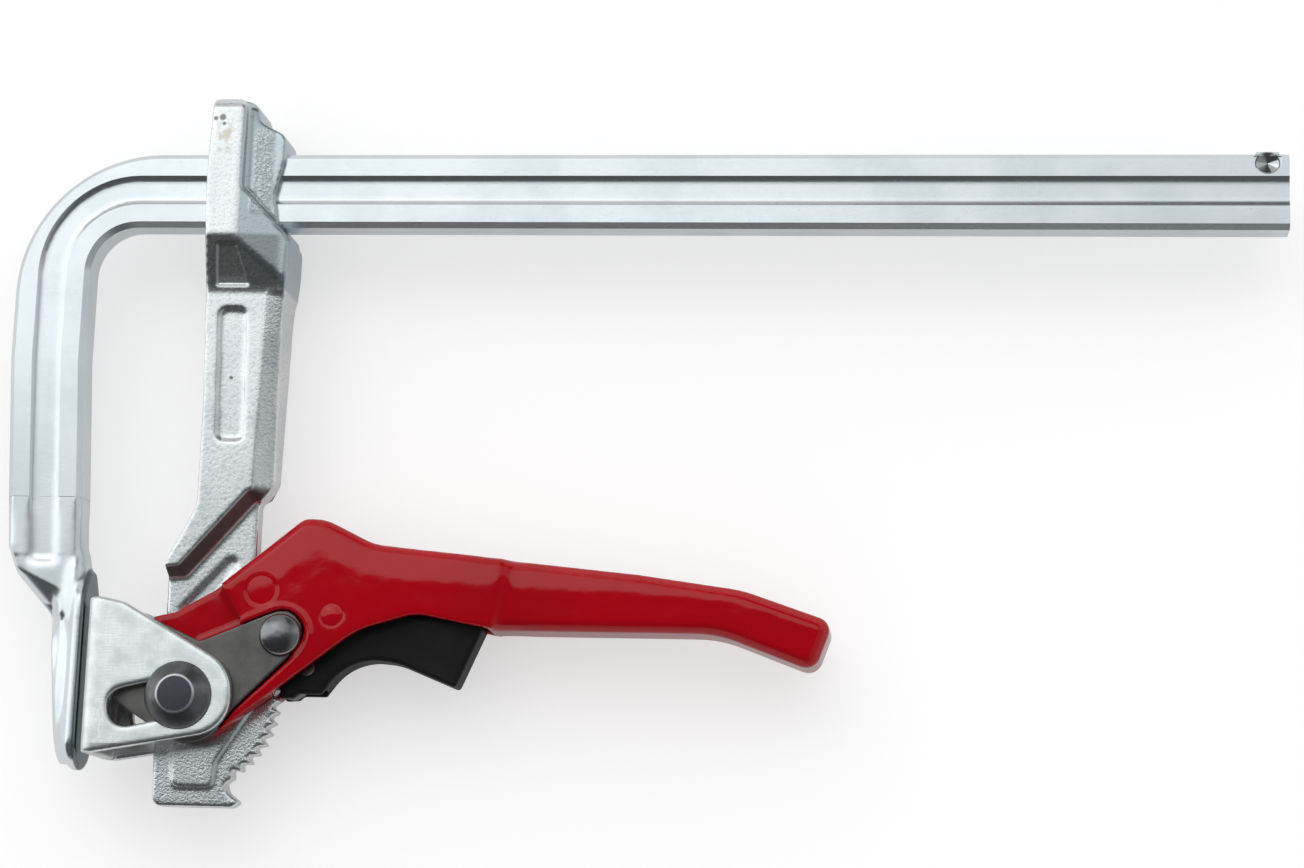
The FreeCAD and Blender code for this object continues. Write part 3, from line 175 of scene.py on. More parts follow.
class Shader:
    """A node tree of a material or of the world, with short ways to add nodes."""

    def __init__(self, tree: bpy.types.NodeTree) -> None:
        """Empty the node tree that is to be filled."""
        self.tree = tree
        tree.nodes.clear()

    def add(self, kind: str, settings: dict[str, Any], values: dict[Any, Any]) -> bpy.types.Node:
        """Add a node.

        Args:
            kind: The node's type.
            settings: Its own properties.
            values: Numbers, colours or links for its sockets, by name or number.

        Returns:
            The node.
        """
        made = self.tree.nodes.new(kind)
        for name, value in settings.items():
            setattr(made, name, value)
        for name, value in values.items():
            self.feed(made.inputs[name], value)
        return made

    def node(self, kind: str, settings: dict[str, Any], values: dict[Any, Any], out: Any = 0) -> Sock:
        """Add a node and take one of its outputs, by name or number."""
        return Sock(self, self.add(kind, settings, values).outputs[out])

    def feed(self, socket: bpy.types.NodeSocket, value: Any) -> None:
        """Give a socket a link or a value.

        Args:
            socket: The input.
            value: A Sock, a number, a colour or a vector.
        """
        if isinstance(value, Sock):
            self.tree.links.new(value.socket, socket)
        elif socket.type == "RGBA" and isinstance(value, tuple) and len(value) == 3:
            socket.default_value = (*value, 1.0)
        else:
            socket.default_value = value

    def place(self) -> Sock:
        """The Object coordinates in millimetres."""
        here = self.node("ShaderNodeTexCoord", {}, {}, "Object")
        return self.node("ShaderNodeVectorMath", {"operation": "SCALE"}, {0: here, "Scale": 1000.0})

    def axes(self, place: Sock) -> tuple[Sock, Sock, Sock]:
        """The three components of a vector."""
        x, y, z = self.add("ShaderNodeSeparateXYZ", {}, {0: place}).outputs
        return Sock(self, x), Sock(self, y), Sock(self, z)

    def patch(self, x: Sock, y: Sock, edges: Patch) -> Sock:
        """1 inside a field with soft edges and 0 outside it."""
        steps = [x.step(*edge) for edge in edges[0]] + [y.step(*edge) for edge in edges[1]]
        return math.prod(steps[1:], start=steps[0])

    def stretched(self, place: Sock, scale: Colour, turn_deg: float = 0.0) -> Sock:
        """A place scaled by axis and turned about Z."""
        values = {"Vector": place, "Scale": scale, "Rotation": (0.0, 0.0, math.radians(turn_deg))}
        return self.node("ShaderNodeMapping", {"vector_type": "POINT"}, values)

    def noise(self, place: Sock, scale: float, detail: float = 3.0, rough: float = 0.5) -> Sock:
        """Cloudy noise from 0 to 1, with its scale in features per millimetre."""
        values = {"Vector": place, "Scale": scale, "Detail": detail, "Roughness": rough}
        return self.node("ShaderNodeTexNoise", {}, values)

    def cells(self, place: Sock, scale: float) -> Sock:
        """Distance to the nearest of scattered points, in cells."""
        return self.node("ShaderNodeTexVoronoi", {}, {"Vector": place, "Scale": scale}, "Distance")

    def mixed(self, factor: Sock | Number, first: Any, second: Any, blend: str = "MIX") -> Sock:
        """Two colours or links mixed; the factor is the share of the second."""
        settings = {"data_type": "RGBA", "blend_type": blend, "clamp_factor": True}
        return self.node("ShaderNodeMix", settings, {0: factor, 6: first, 7: second}, 2)

    def bump(self, height: Sock, depth_mm: float) -> Sock:
        """A normal from a height, with the millimetres that a height of 1 stands for."""
        values = {"Height": height, "Distance": depth_mm * MM, "Strength": 1.0}
        return self.node("ShaderNodeBump", {}, values)

    def around(self, place: Sock, x_mm: float, y_mm: float) -> Sock:
        """The distance of a place from an axis along Z.

        Args:
            place: The place in millimetres.
            x_mm: The axis in X.
            y_mm: The axis in Y.

        Returns:
            The distance in millimetres.
        """
        x, y, _ = self.axes(place)
        away_x = x - x_mm
        away_y = y - y_mm
        return (away_x * away_x + away_y * away_y).power(0.5)

    def surface(self, **values: Any) -> None:
        """Add the surface shader and the output.

        Args:
            values: Socket names with underscores for spaces, and their values.
        """
        named = {name.replace("_", " "): value for name, value in values.items()}
        shader = self.node("ShaderNodeBsdfPrincipled", {}, named)
        self.add("ShaderNodeOutputMaterial", {}, {"Surface": shader})


@dataclass(frozen=True)
class Finish:
    """Base of every finish, which has its own way to fill a node tree.

    Args:
        name: The material's name.
    """

    name: str

    def material(self) -> bpy.types.Material:
        """Make the finish's material.

        Returns:
            The new material.
        """
        made = bpy.data.materials.new(self.name)
        made.use_nodes = True
        self.fill(Shader(made.node_tree))
        return made

    def fill(self, shader: Shader) -> None:
        """Fill the tree; each finish has its own."""
        raise NotImplementedError


@dataclass(frozen=True)
class ZincPlate(Finish):
    """Bright zinc plate over rolled steel, with a slight grain and a few pits.

    Args:
        tint: Colour of the plate.
        shade: Colour of its duller patches.
        pit: Colour of the pits.
        face_shade: Colour of the painted shade on the jaw face, for the dark gap between the jaws.
        dent_shade: Colour of the painted shade inside the punched mark.
        grain: Depth of the fine grain in millimetres.
        rough: Least roughness.
        face_mm: Where the jaw face with its painted shade is.
        mark_mm: Middle of the punched mark in X and Y.
        mark_radius: Its radius in millimetres.
        mark_slope: Slope of its cone.
    """

    tint: Colour = (0.83, 0.87, 0.90)
    shade: Colour = (0.77, 0.82, 0.85)
    pit: Colour = (0.40, 0.43, 0.47)
    face_shade: Colour = (0.09, 0.12, 0.13)
    dent_shade: Colour = (0.50, 0.50, 0.50)
    grain: float = 0.010
    rough: float = 0.18
    face_mm: Patch = (((-1.1, -0.7), (0.6, 0.3)), ((30.0, 28.0),))
    mark_mm: tuple[float, float] = (294.4, 134.4)
    mark_radius: float = 3.1
    mark_slope: float = 0.45

    def fill(self, shader: Shader) -> None:
        """Plate with clouds, grain and small pits, painted shade on the jaw face and a punched mark with
        painted shade.

        Args:
            shader: The material's tree.
        """
        place = shader.place()
        x, y, z = shader.axes(place)
        cloud = shader.noise(place, 0.05, 3.0)
        fine = shader.noise(shader.stretched(place, (0.5, 1.0, 1.0)), 1.6, 4.0, 0.6)
        pits = shader.cells(place, 0.42).step(0.0, 0.13)
        colour = shader.mixed(cloud.step(0.42, 0.62), self.tint, self.shade)
        colour = shader.mixed((1.0 - pits) * 0.35, colour, self.pit)
        # painted shade: the jaw face is darkened as if shaded inside the narrow gap between the jaws
        colour = shader.mixed(shader.patch(x, y, self.face_mm) * 0.85, colour, self.face_shade)
        away = shader.around(place, *self.mark_mm)
        mark = away.step(self.mark_radius, self.mark_radius - 0.3) * z.step(2.0, 2.4)
        # painted shade: the punched mark is greyed for the shade in its cone; the cone itself is the bump
        # below
        colour = shader.mixed(mark * 0.8, colour, self.dent_shade)
        cone = away.under(self.mark_radius) * mark
        height = (fine * 0.8 + pits * 0.2) * self.grain + cone * self.mark_slope
        rough = (fine * 0.08 + cloud * 0.06 + self.rough) * (1.0 - mark * 0.45)
        shader.surface(Base_Color=colour, Metallic=1.0, Roughness=rough, Normal=shader.bump(height, 1.0))


@dataclass(frozen=True)
class ForgedZinc(Finish):
    """Zinc plate over a forging with its leathery grain, brown stains and dark specks.

    Args:
        tint: Colour of the plate.
        shade: Colour of its duller patches.
        hollow: Colour in the hollows of the grain.
        flank_reflection: Colour of the painted blue-grey reflection on the head's flank.
        stain: Colour of the stains near the head's top.
        speck: Colour of the specks.
        step_shade: Colour of the painted shade on the shoulder's slope and on the step.
        specks_mm: Place in X and Y and size of each speck in front.
        cheek_mm: Where the head's cheek is coarse.
        bevel_mm: Where the beam's bevel is coarse.
        stain_mm: Where the stains are.
        slope_mm: Where the shoulder's slope is.
    """

    tint: Colour = (0.87, 0.89, 0.89)
    shade: Colour = (0.79, 0.82, 0.83)
    hollow: Colour = (0.60, 0.65, 0.68)
    flank_reflection: Colour = (0.50, 0.58, 0.62)
    stain: Colour = (0.52, 0.42, 0.31)
    speck: Colour = (0.12, 0.09, 0.07)
    step_shade: Colour = (0.12, 0.115, 0.11)
    specks_mm: tuple[Place, ...] = (
        (27.1, 144.6, 0.55), (28.9, 144.9, 0.8), (29.4, 143.2, 0.45), (34.2, 77.0, 0.45),
    )
    cheek_mm: Patch = (((36.4, 37.6), (42.6, 41.2)), ((119.0, 121.0), (143.5, 141.0)))
    bevel_mm: Patch = (((41.5, 42.6),), ((101.0, 99.0), (44.0, 48.0)))
    stain_mm: Patch = (((27.2, 28.4), (32.4, 31.0)), ((134.0, 138.0), (145.0, 143.0)))
    slope_mm: Patch = (((46.4, 44.0),), ((99.0, 100.0), (114.6, 113.6)))

    def fill(self, shader: Shader) -> None:
        """Leathery grain, coarser on the cheek, the beam's bevel and the foot; painted reflection on the
        flank, painted shade on slope and step.

        Args:
            shader: The material's tree.
        """
        place = shader.place()
        x, y, z = shader.axes(place)
        cloud = shader.noise(place, 0.07, 4.0)
        leather = shader.noise(place, 1.15, 2.0, 0.5)
        fine = shader.noise(place, 3.0, 2.0)
        coarse = shader.noise(place, 1.5, 3.0, 0.6)
        cheek = shader.patch(x, y, self.cheek_mm)
        foot = y.step(8.0, -2.0)
        rugged = cheek.over(shader.patch(x, y, self.bevel_mm)).over(foot * 0.7)
        colour = shader.mixed(cloud.step(0.40, 0.64), self.tint, self.shade)
        colour = shader.mixed(leather.step(0.50, 0.34) * 0.5, colour, self.hollow)
        # painted reflection: the head's flank is tinted blue-grey as if it mirrored the room's grey-blue side
        flank = x.step(34.0, 34.8) * (y + x * 0.9).step(141.5, 143.0)
        colour = shader.mixed(flank * (1.0 - cheek * coarse.step(0.46, 0.60)) * 0.85, colour, self.flank_reflection)
        blot = shader.noise(place, 0.45, 4.0).step(0.46, 0.60)
        colour = shader.mixed(shader.patch(x, y, self.stain_mm) * blot * 0.6, colour, self.stain)
        for mark_x, mark_y, size in self.specks_mm:
            spot = shader.around(place, mark_x, mark_y).step(size * 1.5, size * 0.6)
            colour = shader.mixed(spot * z.step(1.0, 3.0) * 0.8, colour, self.speck)
        level = z.magnitude()
        # painted shade: the step's wall and the shoulder's slope face down and are darkened as if in shade
        off_step = ((x - 33.2) * 0.756 - (y - 35.9) * 0.654).magnitude()
        wall = level.step(2.8, 3.4) * level.step(7.3, 6.8) * off_step.step(5.0, 4.2) * y.step(50.0, 48.0)
        slope = shader.patch(x, y, self.slope_mm) * level.step(7.3, 7.9)
        colour = shader.mixed(wall.over(slope * 0.6) * 0.85, colour, self.step_shade)
        height = leather * 0.030 + fine * 0.006 + coarse * rugged * 0.11
        rough = leather * 0.08 + 0.22 + wall * 0.3
        shader.surface(Base_Color=colour, Metallic=1.0, Roughness=rough, Normal=shader.bump(height, 1.0))


@dataclass(frozen=True)
class SheetZinc(Finish):
    """Zinc plate over pressed sheet, brushed across and duller towards its lower edge.

    Args:
        tint: Colour of the plate.
        streak: Colour of the streaks.
        bright: Colour of the bright patches.
        lean: Slope of the cheeks, which open slightly towards their lower edge.
        fold_mm: Where the metal along the fold is rubbed.
    """

    tint: Colour = (0.84, 0.87, 0.87)
    streak: Colour = (0.68, 0.72, 0.71)
    bright: Colour = (0.93, 0.94, 0.93)
    lean: float = 0.055
    fold_mm: Patch = (((5.5, 6.6), (9.6, 8.2)), ((-2.0, -8.0),))

    def fill(self, shader: Shader) -> None:
        """Fine weave of scratches, soft patches and a band of rubbed metal along the fold.

        Args:
            shader: The material's tree.
        """
        place = shader.place()
        x, y, z = shader.axes(place)
        across = shader.noise(shader.stretched(place, (0.12, 2.2, 1.0)), 1.4, 3.0)
        upright = shader.noise(shader.stretched(place, (2.2, 0.12, 1.0)), 1.4, 3.0)
        cloud = shader.noise(place, 0.16, 4.0, 0.6)
        colour = shader.mixed(cloud.step(0.40, 0.66), self.tint, self.streak)
        colour = shader.mixed((across * upright).step(0.30, 0.20) * 0.35, colour, self.streak)
        worn = shader.noise(shader.stretched(place, (1.6, 0.5, 1.0)), 1.0, 4.0, 0.7).step(0.44, 0.60)
        colour = shader.mixed(shader.patch(x, y, self.fold_mm) * worn * 0.8, colour, self.bright)
        lean = (y.over(-17.0) * -self.lean) * z.magnitude().step(9.0, 10.0)
        height = across * 0.012 + upright * 0.012 + cloud * 0.03 + lean
        rough = cloud * 0.12 + across * 0.06 + 0.20
        shader.surface(Base_Color=colour, Metallic=1.0, Roughness=rough, Normal=shader.bump(height, 1.0))


@dataclass(frozen=True)
class BareSteel(Finish):
    """Bare steel, ground or turned.

    Args:
        tint: Colour of the metal.
        shade: Colour of its darker patches.
        rough: Roughness.
        grain: Depth of the grain in millimetres.
        grain_scale: Features per millimetre.
    """

    tint: Colour = (0.22, 0.21, 0.20)
    shade: Colour = (0.16, 0.155, 0.15)
    rough: float = 0.42
    grain: float = 0.02
    grain_scale: float = 2.2

    def fill(self, shader: Shader) -> None:
        """Even grain with soft dark clouds.

        Args:
            shader: The material's tree.
        """
        place = shader.place()
        cloud = shader.noise(place, 0.16, 4.0)
        fine = shader.noise(place, self.grain_scale, 3.0, 0.6)
        colour = shader.mixed(cloud.step(0.40, 0.66), self.tint, self.shade)
        colour = shader.mixed(fine.step(0.62, 0.40) * 0.25, colour, self.shade)
        rough = fine * 0.12 + (self.rough - 0.06)
        shader.surface(Base_Color=colour, Metallic=1.0, Roughness=rough, Normal=shader.bump(fine, self.grain))


@dataclass(frozen=True)
class TurnedHead(Finish):
    """Turned steel with rings round the pivot, a painted highlight ring at the flat's edge and a scratched
    flat.

    Args:
        centre_mm: The pivot in X and Y.
        flat_mm: Radius of the flat.
        tint: Colour of the cone.
        shade: Colour of its darker patches.
        face: Colour of the flat.
        ring_highlight: Colour of the painted highlight ring at the flat's edge.
    """

    centre_mm: tuple[float, float] = PIVOT_MM
    flat_mm: float = 4.6
    tint: Colour = (0.19, 0.19, 0.195)
    shade: Colour = (0.15, 0.15, 0.155)
    face: Colour = (0.10, 0.10, 0.12)
    ring_highlight: Colour = (0.75, 0.77, 0.80)

    def fill(self, shader: Shader) -> None:
        """Rings by the distance from the axis.

        Args:
            shader: The material's tree.
        """
        place = shader.place()
        away = shader.around(place, *self.centre_mm)
        turned = {"W": away, "Scale": 3.2, "Detail": 3.0}
        rings = shader.node("ShaderNodeTexNoise", {"noise_dimensions": "1D"}, turned)
        cloud = shader.noise(place, 0.5, 3.0)
        scratch = shader.noise(shader.stretched(place, (0.3, 4.0, 1.0), 35.0), 1.5, 3.0)
        colour = shader.mixed(cloud.step(0.35, 0.7), self.tint, self.shade)
        colour = shader.mixed(away.step(self.flat_mm, self.flat_mm - 0.4), colour, self.face)
        beyond = away - self.flat_mm
        # painted highlight: a bright ring where the flat meets the cone
        ring = beyond.step(-0.35, 0.0) * beyond.step(0.5, 0.15)
        colour = shader.mixed(ring * 0.85, colour, self.ring_highlight)
        normal = shader.bump(rings * 0.6 + scratch * 0.4, 0.02)
        rough = cloud * 0.1 + scratch * 0.1 + 0.22
        shader.surface(Base_Color=colour, Metallic=1.0, Roughness=rough, Normal=normal)


@dataclass(frozen=True)
class RedCoat(Finish):
    """Glossy red coating, dipped over pressed steel and thick over the rivet heads.

    Args:
        tint: Colour.
        deep: Colour of its deeper patches.
        rings_mm: Axis in X and Y and radius of each coated rivet head.
    """

    tint: Colour = (0.40, 0.0, 0.006)
    deep: Colour = (0.35, 0.0, 0.005)
    rings_mm: tuple[Place, ...] = ((45.8, 22.3, 4.4), (64.0, 16.4, 2.9))

    def fill(self, shader: Shader) -> None:
        """Even colour with a slight orange peel, and a soft hollow over each head.

        Args:
            shader: The material's tree.
        """
        place = shader.place()
        cloud = shader.noise(place, 0.03, 3.0)
        height = shader.noise(place, 0.40, 2.0) * 0.012 + shader.noise(place, 0.13, 1.0) * 0.06
        for x_mm, y_mm, outer in self.rings_mm:
            height = height - shader.around(place, x_mm, y_mm).step(outer + 0.3, outer - 0.9) * 0.22
        colour = shader.mixed(cloud.step(0.4, 0.65), self.tint, self.deep)
        rough = cloud * 0.03 + 0.05
        normal = shader.bump(height, 1.0)
        shader.surface(Base_Color=colour, Roughness=rough, Specular_IOR_Level=0.42, Normal=normal)


@dataclass(frozen=True)
class BlackPlastic(Finish):
    """Satin black moulded plastic with a fine spark texture.

    Args:
        tint: Colour.
        dust: Colour where dust lies.
    """

    tint: Colour = (0.006, 0.006, 0.006)
    dust: Colour = (0.010, 0.010, 0.010)

    def fill(self, shader: Shader) -> None:
        """Dark, with fine texture and faint dust.

        Args:
            shader: The material's tree.
        """
        place = shader.place()
        cloud = shader.noise(place, 0.10, 3.0)
        spark = shader.noise(place, 3.0, 2.0)
        colour = shader.mixed(cloud.step(0.40, 0.70), self.tint, self.dust)
        rough = spark * 0.12 + cloud * 0.1 + 0.38
        normal = shader.bump(spark, 0.02)
        shader.surface(Base_Color=colour, Roughness=rough, Specular_IOR_Level=0.2, Normal=normal)


class Slot(Enum):
    """The record's material slots."""

    RAIL = "rail_zinc"
    FORGING = "forging_zinc"
    SHEET = "sheet_zinc"
    CAM = "cam_steel"
    PIN = "pin_steel"
    RIVET = "rivet_steel"
    RED = "red_coating"
    BLACK = "black_plastic"
    WIRE = "spring_steel"


FINISHES: dict[Slot, Finish] = {
    Slot.RAIL: ZincPlate("zinc_rail"),
    Slot.FORGING: ForgedZinc("zinc_forging"),
    Slot.SHEET: SheetZinc("zinc_sheet"),
    Slot.CAM: BareSteel("cam_steel"),
    Slot.PIN: TurnedHead("turned_head"),
    Slot.RIVET: BareSteel("rivet_steel", (0.30, 0.305, 0.31), (0.22, 0.225, 0.23), 0.24, 0.006, 1.2),
    Slot.RED: RedCoat("red_coating"),
    Slot.BLACK: BlackPlastic("black_plastic"),
    Slot.WIRE: BareSteel("spring_wire", (0.5, 0.51, 0.53), (0.36, 0.37, 0.39), 0.3, 0.01, 2.0),
}


@dataclass
class DressedNode:
    """One CAD node, merged and smoothed into a piece with its finish.

    Args:
        node: The node's name, which also starts the piece's name.
        body: The body that it rides on.
        slot: Its material slot.
        sharp_deg: Angle above which an edge stays sharp.
    """

    node: str
    body: str
    slot: Slot
    sharp_deg: float = 28.0

    def merged(self, frame: dict[str, Any]) -> bmesh.types.BMesh:
        """A copy of the node's mesh with its doubles merged.


        Returns:
            The copy, to be freed by the caller.
        """
        shape = bmesh.new()
        shape.from_mesh(frame["nodes"][self.node].data)
        bmesh.ops.remove_doubles(shape, verts=shape.verts, dist=0.002 * MM)
        bmesh.ops.dissolve_degenerate(shape, edges=shape.edges, dist=0.001 * MM)
        return shape

    def shaped(self, frame: dict[str, Any]) -> bmesh.types.BMesh:
        """The finished shape, here the node's own; the caller frees it."""
        return self.marked(self.merged(frame))

    def marked(self, shape: bmesh.types.BMesh) -> bmesh.types.BMesh:
        """Mark a shape's sharp edges.

        Args:
            shape: The shape.

        Returns:
            The same shape.
        """
        limit = math.radians(self.sharp_deg)
        for edge in shape.edges:
            edge.smooth = edge.calc_face_angle(0.0) < limit
        return shape

    def build(self, frame: dict[str, Any], materials: dict[Slot, bpy.types.Material]) -> bpy.types.Object:
        """Make the piece in place of the node.

        Args:
            materials: Every material by slot.

        Returns:
            The piece.
        """
        shape = self.shaped(frame)
        for face in shape.faces:
            face.smooth = True
        mesh = bpy.data.meshes.new(self.node + "_skin")
        shape.to_mesh(mesh)
        shape.free()
        mesh.materials.append(materials[self.slot])
        piece = bpy.data.objects.new(self.node + "_skin", mesh)
        bpy.context.scene.collection.objects.link(piece)
        weights = piece.modifiers.new("even_shading", "WEIGHTED_NORMAL")
        weights.keep_sharp = True
        weights.weight = 90
        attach(piece, self.body)
        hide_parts(self.node)
        count = len(mesh.polygons)
        LOG.info("%s rides on %s with %s, %d faces", piece.name, self.body, self.slot.value, count)
        return piece


def even_skin(shape: bmesh.types.BMesh, cell_mm: float) -> bmesh.types.BMesh:
    """Fuse a closed shape into one skin of even cells.

    Args:
        shape: The shape, which is freed.
        cell_mm: Size of the cells.

    Returns:
        The skin, to be freed by the caller.
    """
    mesh = bpy.data.meshes.new("cells")
    shape.to_mesh(mesh)
    shape.free()
    holder = bpy.data.objects.new("cells", mesh)
    bpy.context.scene.collection.objects.link(holder)
    cells = holder.modifiers.new("cells", "REMESH")
    cells.mode = "VOXEL"
    cells.voxel_size = cell_mm * MM
    skin = bmesh.new()
    skin.from_object(holder, bpy.context.evaluated_depsgraph_get())
    bpy.data.objects.remove(holder)
    bpy.data.meshes.remove(mesh)
    return skin


@dataclass
class FlowingNode(DressedNode):
    """A forging, a pressing or a coated piece: its skin is fused and its edges flow.

    Args:
        cell_mm: Size of the skin's cells.
        passes: How often the skin is smoothed.
        flow: Gives for a point in millimetres the share of the passes that reaches it.
    """

    cell_mm: float = 0.45
    passes: int = 4
    flow: Callable[[Vector], float] | None = None

    def shaped(self, frame: dict[str, Any]) -> bmesh.types.BMesh:
        """The node fused, smoothed and with its relief.


        Returns:
            The shape, to be freed by the caller.
        """
        skin = self.flowed(self.merged(frame))
        for vert in skin.verts:
            point = vert.co / MM
            vert.co.z += self.relief(point) * math.copysign(MM, point.z)
        return skin

    def relief(self, point: Vector) -> float:
        """How far front and back stand out at a point, both in millimetres; here nowhere."""
        return 0.0

    def flowed(self, shape: bmesh.types.BMesh) -> bmesh.types.BMesh:
        """Fuse and smooth a shape.

        Args:
            shape: The closed shape, which is freed.

        Returns:
            The skin, to be freed by the caller.
        """
        skin = even_skin(shape, self.cell_mm)
        flow = self.flow or (lambda point: 1.0)
        shares = [self.passes * flow(vert.co / MM) for vert in skin.verts]
        for number in range(self.passes):
            soft = [vert for vert, share in zip(skin.verts, shares) if share > number]
            bmesh.ops.smooth_vert(skin, verts=soft, factor=0.5, **dict.fromkeys(AXES, True))
        return skin


def blend(value: float, low: float, high: float) -> float:
    """A smooth share from 0 at low to 1 at high; high may be the smaller one."""
    share = min(1.0, max(0.0, (value - low) / (high - low)))
    return share * share * (3.0 - 2.0 * share)


def off_line(point: Vector, line: Line) -> float:
    """Distance in X and Y from a point to a line of several runs.

    Args:
        point: The point.
        line: The line's corners.

    Returns:
        The least distance.
    """
    flat = Vector((point.x, point.y))
    least = math.inf
    for start, end in zip(line, line[1:]):
        first, last = Vector(start), Vector(end)
        run = last - first
        share = min(1.0, max(0.0, (flat - first).dot(run) / run.length_squared))
        least = min(least, (flat - first - run * share).length)
    return least


@dataclass
class RailWithJaw(FlowingNode):
    """The rail as the solid has it, and below a level its forged lower end with flowing edges.

    Args:
        level_mm: Where the lower end starts.
        blend_mm: Over which length its skin comes back to the solid's.
        overlap_mm: How far it reaches into the rail above.
        sink_mm: How far it lies under the rail's surface there.
        face_mm: Half the rail's thickness.
        rail_mid_mm: Middle of the rail in Y.
        arm_x_mm: Middle of the bent arm in X at its top.
        lean_mm: Where the arm starts to lean, over which length, and how far it gets.
        groove_bend_mm: Radius of the groove's bend.
        groove_half_mm: Half the groove's width.
        groove_depth_mm: Depth of the solid's groove.
        groove_low_mm: Where the groove ends in Y.
        floor_share: Share of that depth that the groove's floor has.
        wall_power: How flat the floor and how steep the walls are.
        swellings_mm: Centre and radii of the swellings that join arm, neck and pad.
        heel_mm: Line in X and Y below which the arm's outer corner is chamfered.
        heel_slope: Slope of that chamfer.
        heel_most_mm: Its greatest depth.
    """

    level_mm: float = 46.0
    blend_mm: float = 5.0
    overlap_mm: float = 1.0
    sink_mm: float = 0.03
    face_mm: float = 4.75
    rail_mid_mm: float = 127.0
    arm_x_mm: float = -15.25
    lean_mm: tuple[float, float, float] = (82.25, 52.75, 2.8)
    groove_bend_mm: float = 22.0
    groove_half_mm: float = 3.85
    groove_depth_mm: float = 1.2
    groove_low_mm: float = 29.0
    floor_share: float = 0.52
    wall_power: int = 8
    swellings_mm: tuple[tuple[Place, Place], ...] = (
        ((-5.3, 1.0, 0.0), (3.3, 23.0, 5.3)),
        ((-4.0, 21.0, 0.0), (3.4, 15.0, 6.0)),
    )
    heel_mm: Line = ((-19.5, 27.8), (-7.6, 22.4))
    heel_slope: float = 0.5
    heel_most_mm: float = 2.6

    def off_groove(self, point: Vector) -> float:
        """How far a point in millimetres lies from the groove's middle line.

        Args:
            point: The point.

        Returns:
            The distance.
        """
        bend_x = self.arm_x_mm + self.groove_bend_mm
        bend_y = self.rail_mid_mm - self.groove_bend_mm
        if point.x > bend_x:
            return abs(point.y - self.rail_mid_mm)
        if point.y > bend_y:
            return abs(math.hypot(point.x - bend_x, point.y - bend_y) - self.groove_bend_mm)
        top, length, reach = self.lean_mm
        lean = max(0.0, top - point.y) / length
        return abs(point.x - (self.arm_x_mm + reach * min(lean, 1.0)))

    def chamfer(self, point: Vector) -> float:
        """How far the arm's outer corner above the neck is taken back.

        Args:
            point: The point in millimetres.

        Returns:
            The fall in millimetres.
        """
        (left, high), (right, low) = self.heel_mm
        if point.x > right + 1.0 or point.y < 5.0:
            return 0.0
        under = high + (low - high) * (point.x - left) / (right - left) - point.y
        fade = blend(point.x, right + 1.0, right - 2.5) * blend(point.y, 6.0, 15.0)
        depth = min(self.heel_most_mm, self.heel_slope * max(0.0, under))
        return depth * fade * blend(abs(point.z), 0.0, 4.5)

    def cut(self, frame: dict[str, Any], level_mm: float, keep_above: bool) -> bmesh.types.BMesh:
        """The part of the node above or below a level, closed.

        Args:
            level_mm: The level in Y.
            keep_above: Whether the upper part is kept.

        Returns:
            The part, to be freed by the caller.
        """
        shape = self.merged(frame)
        self.flatten_groove(shape)
        bmesh.ops.bisect_plane(
            shape, geom=shape.verts[:] + shape.edges[:] + shape.faces[:],
            plane_co=(0.0, level_mm * MM, 0.0), plane_no=(0.0, 1.0, 0.0),
            clear_inner=keep_above, clear_outer=not keep_above,
        )
        rim = [edge for edge in shape.edges if edge.is_boundary]
        bmesh.ops.triangle_fill(shape, edges=rim, use_beauty=True, use_dissolve=False)
        bmesh.ops.recalc_face_normals(shape, faces=shape.faces)
        return shape

    def flatten_groove(self, shape: bmesh.types.BMesh) -> None:
        """Give the groove a flatter floor and steeper walls, as the rolled one has.

        Args:
            shape: The rail.
        """
        floor = self.face_mm - self.groove_depth_mm
        for vert in shape.verts:
            point = vert.co / MM
            if not floor - 0.05 < abs(point.z) < self.face_mm - 0.02 or point.y < self.groove_low_mm:
                continue
            share = self.off_groove(point) / self.groove_half_mm
            if share < 0.99:
                depth = self.groove_depth_mm * self.floor_share * (1.0 - share ** self.wall_power)
                vert.co.z = math.copysign(self.face_mm - depth, point.z) * MM

    def lower_end(self, frame: dict[str, Any]) -> bmesh.types.BMesh:
        """The forged lower end, which comes back to the solid's surface at its top.


        Returns:
            The skin, to be freed by the caller.
        """
        solid = self.cut(frame, self.level_mm + 2 * self.blend_mm, False)
        guide = BVHTree.FromBMesh(solid)
        solid.free()
        forging = self.cut(frame, self.level_mm + self.overlap_mm, False)
        for middle, radii in self.swellings_mm:
            place = Matrix.Translation(Vector(middle) * MM) @ Matrix.Diagonal((*(Vector(radii) * MM), 1.0))
            bmesh.ops.create_uvsphere(forging, u_segments=48, v_segments=32, radius=1.0, matrix=place)
        lower = self.flowed(forging)
        for vert in lower.verts:
            vert.co.z -= math.copysign(self.chamfer(vert.co / MM), vert.co.z) * MM
        for vert in lower.verts:
            over = vert.co.y / MM - self.level_mm
            share = (over + self.blend_mm + self.overlap_mm) / self.blend_mm
            if share > 0.0 and over < self.overlap_mm - 0.1:
                nearest = guide.find_nearest(vert.co)[0]
                vert.co = vert.co.lerp(nearest, min(share, 1.0))
            if over > 0.35:
                vert.co = vert.co - vert.normal * self.sink_mm * MM
        return lower

    def shaped(self, frame: dict[str, Any]) -> bmesh.types.BMesh:
        """Both parts in one shape.


        Returns:
            The shape, to be freed by the caller.
        """
        lower = self.lower_end(frame)
        mesh = bpy.data.meshes.new("lower_end")
        lower.to_mesh(mesh)
        lower.free()
        whole = self.marked(self.cut(frame, self.level_mm, True))
        whole.from_mesh(mesh)
        bpy.data.meshes.remove(mesh)
        return whole


